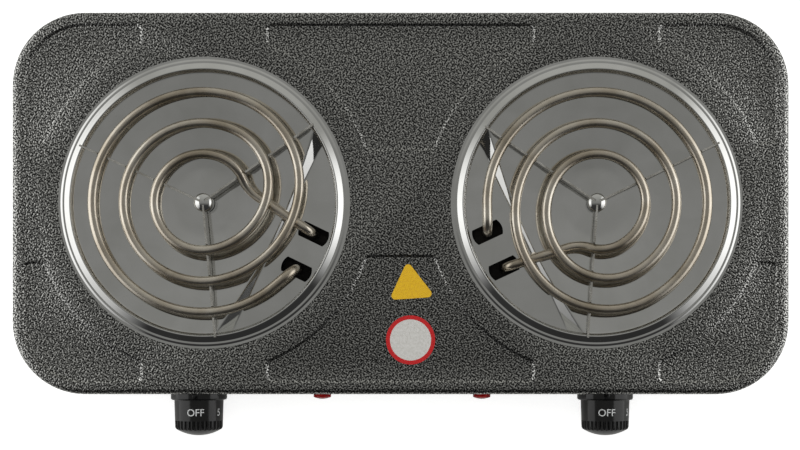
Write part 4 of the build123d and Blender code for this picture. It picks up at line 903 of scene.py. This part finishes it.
@dataclass
class HeatingCoil:
    """Wound tube: outer leg, turns stepping inward and the leg that dives under them, in millimetres."""

    station: Station
    tube_r: float = 3.0
    rise: float = 7.5
    outer_r: float = 67.5
    pitch: float = 19.0
    turns: int = 3
    step_start: float = 95.0
    step_end: float = -55.0
    leg_x: float = 68.5
    leg_spread: float = 12.2
    leg_bend: float = 9.0
    leg_end: float = 41.5
    tail_angle: float = 100.0
    tail_lead: float = 12.0
    tail_corner_angle: float = 41.5
    tail_corner_inset: float = 1.5
    tail_drop: float = 8.0
    tail_bends: tuple[float, float] = (22.0, 20.0)
    sides: int = 36
    point_step: float = 1.2
    least_step: float = 0.05
    sharp: float = 50.0

    def polar(self, r: float, degrees: float, z: float = 0.0) -> Vector:
        """Point at a radius and an angle."""
        return Vector((r * math.cos(math.radians(degrees)), r * math.sin(math.radians(degrees)), z))

    def clockwise(self, degrees: float) -> Vector:
        """Direction of travel of the winding at an angle."""
        return Vector((math.sin(math.radians(degrees)), -math.cos(math.radians(degrees)), 0))

    def arc(self, r: float, start: float, sweep: float) -> Points:
        """Points on an arc round the burner's axis."""
        count = math.ceil(abs(math.radians(sweep)) * r / self.point_step)
        return [self.polar(r, start + sweep * k / count) for k in range(count + 1)]

    def biarc(self, start: Vector, way_in: Vector, end: Vector, way_out: Vector) -> Points:
        """Points on two tangent arcs.

        Args:
            start: First point.
            way_in: Direction there.
            end: Last point.
            way_out: Direction there.

        Returns:
            Points from the first to the last.
        """
        span = end - start
        along = span.dot(way_in + way_out)
        spread = 2 * (1 - way_in.dot(way_out))
        reach = (math.sqrt(along * along + spread * span.dot(span)) - along) / spread
        corners = [start, start + way_in * reach, end - way_out * reach, end]
        middle = corners[2] - corners[1]
        radii = [reach / math.tan(way.angle(middle) / 2) for way in (way_in, way_out)]
        return bent_points(corners, radii, self.point_step)

    def path(self) -> Points:
        """Centre line of the tube, in the burner's own millimetres at coil height."""
        foot = self.leg_end - self.station.top - self.rise
        leg_r = math.hypot(self.leg_x, self.leg_spread)
        leg_angle = math.degrees(math.atan2(self.leg_spread, self.leg_x))
        first = -leg_angle - math.degrees(math.acos(self.outer_r / leg_r))
        leg = [Vector((self.leg_x, -self.leg_spread, z)) for z in (foot, 0)]
        corners = leg + [self.polar(self.outer_r, first)]
        line = bent_points(corners, (self.leg_bend,), self.point_step)
        start = first
        for turn in range(self.turns):
            r = self.outer_r - turn * self.pitch
            last = turn == self.turns - 1
            end = self.tail_angle if last else self.step_start
            line += self.arc(r, start, end - start - 360)
            start = self.step_end
            if not last:
                line += self.biarc(
                    self.polar(r, self.step_start),
                    self.clockwise(self.step_start),
                    self.polar(r - self.pitch, self.step_end),
                    self.clockwise(self.step_end),
                )
        inner_r = self.outer_r - (self.turns - 1) * self.pitch
        begin = self.polar(inner_r, self.tail_angle)
        tail = [
            begin,
            begin + self.clockwise(self.tail_angle) * self.tail_lead,
            self.polar(inner_r - self.tail_corner_inset, self.tail_corner_angle, -self.tail_drop),
            Vector((self.leg_x, self.leg_spread, -self.tail_drop)),
            Vector((self.leg_x, self.leg_spread, foot)),
        ]
        line += bent_points(tail, (*self.tail_bends, self.leg_bend), self.point_step)
        kept = [line[0]]
        for point in line[1:]:
            if (point - kept[-1]).length > self.least_step:
                kept.append(point)
        return kept

    @staticmethod
    def tube_tree() -> bpy.types.NodeTree:
        """Node tree that sweeps a round tube along a line of edges and notes where each point lies on it."""
        found = bpy.data.node_groups.get("tube_along_line")
        if found is not None:
            return found
        tree = bpy.data.node_groups.new("tube_along_line", "GeometryNodeTree")
        add = partial(add_node, tree)
        sockets = {"Geometry": "Geometry", "Radius": "Float", "Sides": "Int", "Material": "Material"}
        for name, kind in sockets.items():
            tree.interface.new_socket(name, in_out="INPUT", socket_type=f"NodeSocket{kind}")
        tree.interface.new_socket("Geometry", in_out="OUTPUT", socket_type="NodeSocketGeometry")
        given = add("NodeGroupInput").outputs
        spot = add("GeometryNodeSplineParameter").outputs
        line = add("GeometryNodeMeshToCurve", inputs={"Mesh": given["Geometry"]})
        ring = {"Resolution": given["Sides"], "Radius": given["Radius"]}
        circle = add("GeometryNodeCurvePrimitiveCircle", inputs=ring)
        noted = {}
        for name, curve, measure in (("along", line, "Length"), ("around", circle, "Factor")):
            note = add("GeometryNodeCaptureAttribute")
            note.capture_items.new("FLOAT", name)
            feed(tree, note, {"Geometry": curve, name: spot[measure]})
            noted[name] = note.outputs
        swept = {"Curve": noted["along"]["Geometry"], "Profile Curve": noted["around"]["Geometry"]}
        tube = add("GeometryNodeCurveToMesh", inputs=swept | {"Fill Caps": True})
        share = noted["around"]["around"]
        turn = add("ShaderNodeMath", {"operation": "MULTIPLY"}, {0: share, 1: 2 * math.pi})
        cosine = add("ShaderNodeMath", {"operation": "COSINE"}, {0: turn})
        sine = add("ShaderNodeMath", {"operation": "SINE"}, {0: turn})
        lie = add("ShaderNodeCombineXYZ", inputs={0: cosine, 1: sine, 2: noted["along"]["along"]})
        kind = {"data_type": "FLOAT_VECTOR", "domain": "POINT"}
        record = {"Geometry": tube, "Name": "tube_uv", "Value": lie}
        marked = add("GeometryNodeStoreNamedAttribute", kind, record)
        real = add("GeometryNodeRealizeInstances", inputs={"Geometry": marked})
        dressed = add("GeometryNodeSetMaterial", inputs={"Geometry": real, "Material": given["Material"]})
        add("NodeGroupOutput", inputs={"Geometry": dressed})
        return tree

    def build(self) -> None:
        """Sweep the tube and hand it over."""
        points = self.path()
        mesh = bpy.data.meshes.new("coil_line")
        mesh.from_pydata([tuple(p) for p in points], [(i, i + 1) for i in range(len(points) - 1)], [])
        mesh.transform(self.station.to_frame(self.station.top + self.rise))

        def sweep(piece: bpy.types.Object) -> None:
            """Add the tube tree with its sizes."""
            maker = piece.modifiers.new("tube", "NODES")
            tree = self.tube_tree()
            sizes = {"Radius": self.tube_r * MM, "Sides": self.sides, "Material": SHEATH.material()}
            maker.node_group = tree
            for item in tree.interface.items_tree:
                if item.in_out == "INPUT" and item.name in sizes:
                    maker[item.identifier] = sizes[item.name]

        word = self.station.side.word
        tube = smooth(evaluated(mesh, sweep), self.sharp)
        place_piece(f"{word}_tube", tube, SHEATH, Body.HOUSING, [f"{word}_coil"])


@dataclass
class Spider:
    """Three notched strips that carry the coil, and the domed button at their middle."""

    station: Station

    def build(self) -> None:
        """Dress the strips and the button."""
        word = self.station.side.word
        dress(f"{word}_strips", f"{word}_support_arms", STRIP)
        dress(f"{word}_button", f"{word}_medallion", PAN_CHROME)


@dataclass
class Dial:
    """Knob with a domed front, a fluted grip, a hollow back and printed settings, in millimetres."""

    station: Station
    rear: float = 2.0
    rear_r: float = 15.5
    front_r: float = 14.9
    side_end: float = 22.5
    reach: float = 27.0
    wall: float = 2.6
    cavity_end: float = 19.0
    socket_r: float = 5.5
    socket_start: float = 6.8
    bore_r: float = 3.03
    flutes: int = 30
    flute_r: float = 1.1
    flute_depth: float = 1.3
    flute_start: float = 17.5
    flute_steps: int = 10
    land_steps: int = 3
    letter_height: float = 4.4
    letter_from_wall: float = 12.0
    print_film: float = 0.03
    slice_width: float = 0.5
    first_setting: float = -90.0
    setting_step: float = -52.0
    settings: int = 5
    cap_share: float = 0.69
    letter_smoothness: int = 6
    dome_steps: int = 22
    dome_trim: float = 0.06
    bends: tuple[float, ...] = (2.4, 0.4, 0.3, 0.3)
    point_step: float = 1.5
    step_half: float = 0.01
    flute_share: float = 0.999
    sharp: float = 34.0

    @property
    def body(self) -> Body:
        """Body that the knob turns with."""
        return Body[f"{self.station.side.name}_CONTROL"]

    def side_r(self, out: float) -> float:
        """Radius of the plain side at a distance from the wall."""
        return self.rear_r + (self.front_r - self.rear_r) * (out - self.rear) / (self.side_end - self.rear)

    def profile(self) -> Outline:
        """Radius and distance from the wall, from the tip over the outside to the hollow and the axis."""
        drop = self.reach - self.side_end
        dome_r = (self.front_r**2 + drop**2) / (2 * drop)
        edge_angle = math.asin(self.front_r / dome_r) - self.dome_trim
        angles = [edge_angle * k / self.dome_steps for k in range(self.dome_steps + 1)]
        dome = [(dome_r * math.sin(a), self.reach - dome_r * (1 - math.cos(a))) for a in angles]
        cavity_r = self.front_r - self.wall
        corners = (
            dome[-1],
            (self.front_r, self.side_end),
            (self.rear_r, self.rear),
            (cavity_r, self.rear),
            (cavity_r, self.cavity_end),
            (self.socket_r, self.cavity_end),
        )
        line = bent_points([Vector((*p, 0)) for p in corners], self.bends, self.point_step)
        outside = [(p.x, p.y) for p in line]
        step = self.flute_start
        split = next(i for i, (_, out) in enumerate(outside) if out < step)
        outside[split:split] = [(self.side_r(step), step + d) for d in (self.step_half, -self.step_half)]
        socket = [
            (self.socket_r, self.socket_start),
            (self.bore_r, self.socket_start),
            (self.bore_r, self.cavity_end),
            (0.0, self.cavity_end),
        ]
        return dome + outside[1:] + socket

    def fluted(self, r: float, out: float, offset: float) -> float:
        """Radius once a flute is cut, at an angle from that flute's middle.

        Args:
            r: Radius of the plain knob there.
            out: Distance from the wall.
            offset: Angle from the nearest flute, in radians.

        Returns:
            The radius on the surface.
        """
        centre = self.front_r + self.flute_r - self.flute_depth
        across = centre * math.sin(offset)
        if out < self.flute_start or abs(across) >= self.flute_r:
            return r
        return min(r, centre * math.cos(offset) - math.sqrt(self.flute_r**2 - across**2))

    def knob(self, shape: bmesh.types.BMesh) -> None:
        """Fill a bmesh with the knob as one closed skin.

        Args:
            shape: The bmesh.
        """
        pitch = 2 * math.pi / self.flutes
        centre = self.front_r + self.flute_r - self.flute_depth
        half = math.asin(self.flute_r / centre) * self.flute_share
        cut = [half * (2 * k / self.flute_steps - 1) for k in range(self.flute_steps + 1)]
        apart = (pitch - 2 * half) / (self.land_steps + 1)
        land = [half + apart * k for k in range(1, self.land_steps + 1)]
        nearest = [(o, o if o <= half else o - pitch) for o in cut + land]
        spokes = [(f * pitch + o, offset) for f in range(self.flutes) for o, offset in nearest]
        previous: list[bmesh.types.BMVert] = []
        inside = False
        for r, out in self.profile():
            inside = inside or out <= self.rear
            ring = []
            for angle, offset in spokes if r else [(0.0, 0.0)]:
                reach = r if inside or not r else self.fluted(r, out, offset)
                ring.append(shape.verts.new((reach * math.sin(angle), reach * math.cos(angle), out)))
            if previous:
                bridge(shape, previous, ring)
            previous = ring

    def printed(self, words: str, bearing: float) -> bpy.types.Mesh:
        """Lettering as a thin film bent round the side of the knob.

        Args:
            words: What it says.
            bearing: Angle of its middle from the top, in degrees towards +X.

        Returns:
            A mesh in the control's millimetres.
        """
        curve = bpy.data.curves.new("setting", "FONT")
        curve.body = words
        curve.align_x = "CENTER"
        curve.size = self.letter_height / self.cap_share
        curve.extrude = self.print_film / 2
        curve.resolution_u = self.letter_smoothness
        mesh = evaluated(curve)
        bpy.data.curves.remove(curve)

        def wrap(shape: bmesh.types.BMesh) -> None:
            """Cut the letters into narrow strips and bend them round the knob."""
            bmesh.ops.remove_doubles(shape, verts=shape.verts, dist=LETTER_JOIN)
            wide = max(abs(v.co.x) for v in shape.verts)
            count = math.ceil(wide / self.slice_width)
            for k in range(-count, count + 1):
                parts = list(shape.verts) + list(shape.edges) + list(shape.faces)
                cut = (k * self.slice_width, 0, 0)
                bmesh.ops.bisect_plane(shape, geom=parts, plane_co=cut, plane_no=(1, 0, 0))
            for vert in shape.verts:
                out = self.letter_from_wall + self.letter_height / 2 - vert.co.y
                r = self.side_r(out)
                angle = math.radians(bearing) + vert.co.x / r
                r += self.print_film / 2 + vert.co.z
                vert.co = (r * math.sin(angle), r * math.cos(angle), out)

        return edited(mesh, wrap)

    def build(self) -> None:
        """Hand over the knob, its bezel and each printed setting."""
        word = self.station.side.word
        to_frame = self.station.control_frame()
        knob = mesh_from("knob", self.knob)
        knob.transform(to_frame)
        smooth(knob, self.sharp)
        place_piece(f"{word}_dial", knob, BLACK, self.body, [f"{word}_knob"])
        dress(f"{word}_collar", f"{word}_bezel", BLACK)
        bearings = {"OFF": 0.0}
        bearings |= {str(k + 1): self.first_setting + k * self.setting_step for k in range(self.settings)}
        for words, bearing in bearings.items():
            film = self.printed(words, bearing)
            film.transform(to_frame)
            place_piece(f"{word}_print_{words}", film, INK, self.body)


@dataclass
class Stickers:
    """Two blank vinyl stickers on the sunken panel in the middle of the front edge, in millimetres."""

    panel_z: float = 60.8
    film: float = 0.12
    ring_centre: tuple[float, float] = (6.2, -72.4)
    ring_r: float = 15.2
    disc_r: float = 12.7
    triangle: tuple[tuple[float, float], ...] = ((4.2, -23.5), (-7.1, -47.8), (21.5, -45.8))
    corner_r: float = 2.4
    point_step: float = 2.0
    circle_points: int = 128

    def slab(self, shape: bmesh.types.BMesh, outline: Outline, hole: float = 0.0) -> None:
        """Fill a bmesh with a thin flat slab.

        Args:
            shape: The bmesh.
            outline: Its edge, anticlockwise.
            hole: Share of the outline that is left open at the middle, or nothing.
        """
        middle = Vector((sum(x for x, _ in outline), sum(y for _, y in outline))) / len(outline)
        rings = []
        for share in (1.0, hole) if hole else (1.0,):
            for z in (0.0, self.film):
                flat = [middle + (Vector(p) - middle) * share for p in outline]
                rings.append([shape.verts.new((p.x, p.y, self.panel_z + z)) for p in flat])
        if not hole:
            shape.faces.new(rings[1])
            shape.faces.new(reversed(rings[0]))
            walls = ((rings[0], rings[1]),)
        else:
            walls = ((rings[0], rings[1]), (rings[1], rings[3]), (rings[3], rings[2]), (rings[2], rings[0]))
        for low, high in walls:
            bridge(shape, low, high)

    def circle(self, r: float) -> Outline:
        """Points on a circle about the round sticker's middle."""
        x, y = self.ring_centre
        turns = [2 * math.pi * k / self.circle_points for k in range(self.circle_points)]
        return [(x + r * math.cos(a), y + r * math.sin(a)) for a in turns]

    def rounded_triangle(self) -> Outline:
        """Triangle with rounded corners."""
        a, b, c = (Vector((*p, 0)) for p in self.triangle)
        middle = (a + c) / 2
        line = bent_points([middle, a, b, c, middle], (self.corner_r,) * 3, self.point_step)
        return [(p.x, p.y) for p in line[:-1]]

    def build(self) -> None:
        """Hand over the three films."""
        films = (
            ("sticker_triangle", self.rounded_triangle(), 0.0, YELLOW),
            ("sticker_ring", self.circle(self.ring_r), self.disc_r / self.ring_r, RED),
            ("sticker_disc", self.circle(self.disc_r), 0.0, WHITE),
        )
        for name, outline, hole, finish in films:
            mesh = mesh_from(name, lambda shape: self.slab(shape, outline, hole))
            mesh.transform(Matrix.Scale(MM, 4))
            place_piece(name, mesh, finish, Body.HOUSING)


@dataclass
class Lamps:
    """Red lenses on the front wall."""

    def build(self) -> None:
        """Dress both lenses."""
        for side in Side:
            dress(f"{side.word}_lens", f"{side.word}_lamp_lens", RED_LENS)


@dataclass
class Fittings:
    """Everything else: base, fasteners, controls, terminals and wires, which keep their solids' shape."""

    def build(self) -> None:
        """Give each solid that still shows the finish of its slot."""
        finishes = {
            "hammertone_paint": HAMMER,
            "base_steel": SPANGLE,
            "zinc_hardware": ZINC,
            "pan_chrome": PAN_CHROME,
            "coil_sheath": SHEATH,
            "spider_steel": STRIP,
            "black_plastic": BLACK,
            "red_lens": RED_LENS,
            "bulb_glass": BULB,
            "rubber": RUBBER,
            "brass": BRASS,
            "ceramic": CERAMIC,
        }
        # The leg brackets take painted shade: near-black, standing in for the shade inside the leg slots.
        special = SLEEVES | {f"{side.word}_leg_bracket": SLOT_SHADE_STEEL for side in Side}
        for part in frame["record"]["subparts"]:
            finish = special.get(part["node"]) or finishes[part["material_slot"]]
            node = frame["nodes"][part["node"]]
            for slot in node.material_slots:
                slot.material = finish.material()
        LOG.info("finishes set on %d solids", len(frame["nodes"]))


@dataclass
class Studio:
    """Pale floor, soft lights and the camera over the object; in metres where not said otherwise."""

    floor_size: float = 6.0
    floor_glow: float = 0.75
    camera_mm: tuple[float, float, float] = (40.0, -57.0, 1162.0)
    lens: float = 80.25
    shift: tuple[float, float] = (-0.0816, 0.1125)
    sensor: float = 36.0
    card_size: tuple[float, float] = (0.92, 0.44)
    left_place: tuple[float, float, float] = (-0.40, 0.01, 0.20)
    left_radiance: float = 1.2
    right_place: tuple[float, float, float] = (0.42, 0.01, 0.20)
    right_radiance: float = 1.3
    ceiling_place: tuple[float, float, float] = (0.0, 0.0, 1.7)
    ceiling_size: tuple[float, float] = (1.6, 1.6)
    ceiling_radiance: float = 1.9
    paper: str = "f4f4f2"
    room: tuple[tuple[float, str], ...] = (
        (0.0, "303030"),
        (0.28, "3a3a3a"),
        (0.46, "868684"),
        (0.56, "8c8c8a"),
        (0.75, "9e9e9b"),
        (1.0, "b4b4b0"),
    )

    def floor(self) -> None:
        """White floor that still takes a shadow."""
        half = self.floor_size / 2
        mesh = bpy.data.meshes.new("floor")
        corners = [(-half, -half, 0), (half, -half, 0), (half, half, 0), (-half, half, 0)]
        mesh.from_pydata(corners, [], [(0, 1, 2, 3)])
        floor = new_object("floor", mesh)
        paper = bpy.data.materials.new("white_paper")
        paper.use_nodes = True
        tree = paper.node_tree
        ray = add_node(tree, "ShaderNodeLightPath").outputs["Is Camera Ray"]
        glow = add_node(tree, "ShaderNodeMath", {"operation": "MULTIPLY"}, {0: ray, 1: self.floor_glow})
        look = {"Base Color": linear(self.paper), "Roughness": 0.9, "Specular IOR Level": 0.1}
        look |= {"Emission Color": (1, 1, 1, 1), "Emission Strength": glow}
        feed(tree, tree.nodes["Principled BSDF"], look)
        mesh.materials.append(paper)

    def world(self) -> None:
        """Grey room: dark to the front, mid-grey overhead and paler behind."""
        world = bpy.data.worlds.new("room")
        bpy.context.scene.world = world
        world.use_nodes = True
        tree = world.node_tree
        way = add_node(tree, "ShaderNodeTexCoord").outputs["Generated"]
        parts = add_node(tree, "ShaderNodeSeparateXYZ", inputs={0: way})
        along = {"Value": parts.outputs["Y"], "From Min": -1.0, "From Max": 1.0}
        depth = add_node(tree, "ShaderNodeMapRange", inputs=along)
        tone = add_node(tree, "ShaderNodeValToRGB", {"stops": self.room}, {"Fac": depth})
        feed(tree, tree.nodes["Background"], {"Color": tone, "Strength": 1.0})

    def card(
        self, name: str, place: tuple, way: tuple, size: tuple, radiance: float, mirrored: bool = True
    ) -> None:
        """Large white card, brightest at its middle and fading to its two ends.

        Args:
            name: Name of the light.
            place: Its middle, in metres.
            way: Direction that it faces.
            size: Its length and height, in metres.
            radiance: How bright its face is.
            mirrored: Whether shiny surfaces show it.
        """
        data = bpy.data.lights.new(name, "AREA")
        data.shape = "RECTANGLE"
        data.size, data.size_y = size
        data.energy = math.pi * size[0] * size[1] * radiance
        light = new_object(name, data)
        light.location = place
        light.rotation_euler = Vector(way).to_track_quat("-Z", "Y").to_euler()
        light.visible_glossy = mirrored
        data.use_nodes = True
        tree = data.node_tree
        spot = add_node(tree, "ShaderNodeNewGeometry").outputs["Parametric"]
        across = add_node(tree, "ShaderNodeSeparateXYZ", inputs={0: spot})
        aside = add_node(tree, "ShaderNodeMath", {"operation": "SUBTRACT"}, {0: across, 1: 0.5})
        away = {"Value": add_node(tree, "ShaderNodeMath", {"operation": "ABSOLUTE"}, {0: aside})}
        fade = {"From Min": 0.0, "From Max": 0.5, "To Min": 1.0, "To Max": 0.0}
        glow = add_node(tree, "ShaderNodeMapRange", {"interpolation_type": "SMOOTHSTEP"}, away | fade)
        feed(tree, tree.nodes["Emission"], {"Strength": glow})

    def camera(self) -> None:
        """Camera that looks straight down."""
        data = bpy.data.cameras.new("overhead")
        data.lens = self.lens
        data.sensor_width = self.sensor
        data.shift_x, data.shift_y = self.shift
        data.clip_end = 2 * self.floor_size
        camera = new_object("overhead", data)
        camera.location = Vector(self.camera_mm) * MM
        bpy.context.scene.camera = camera

    def build(self) -> None:
        """Set up the studio."""
        self.floor()
        self.world()
        self.card("left_card", self.left_place, (1, 0, 0), self.card_size, self.left_radiance)
        self.card("right_card", self.right_place, (-1, 0, 0), self.card_size, self.right_radiance)
        above = self.ceiling_place
        self.card("ceiling", above, (0, 0, -1), self.ceiling_size, self.ceiling_radiance, mirrored=False)
        self.camera()
        bpy.context.scene.view_settings.view_transform = "Standard"


def main() -> None:
    """Build the object and its studio."""
    logging.basicConfig(level=logging.INFO, format="%(name)s: %(message)s")
    Fittings().build()
    Housing().build()
    for station in STATIONS:
        for piece in (DripPan(station), HeatingCoil(station), Spider(station), Dial(station)):
            piece.build()
    Lamps().build()
    Stickers().build()
    Studio().build()


if __name__ == "__main__":
    main()
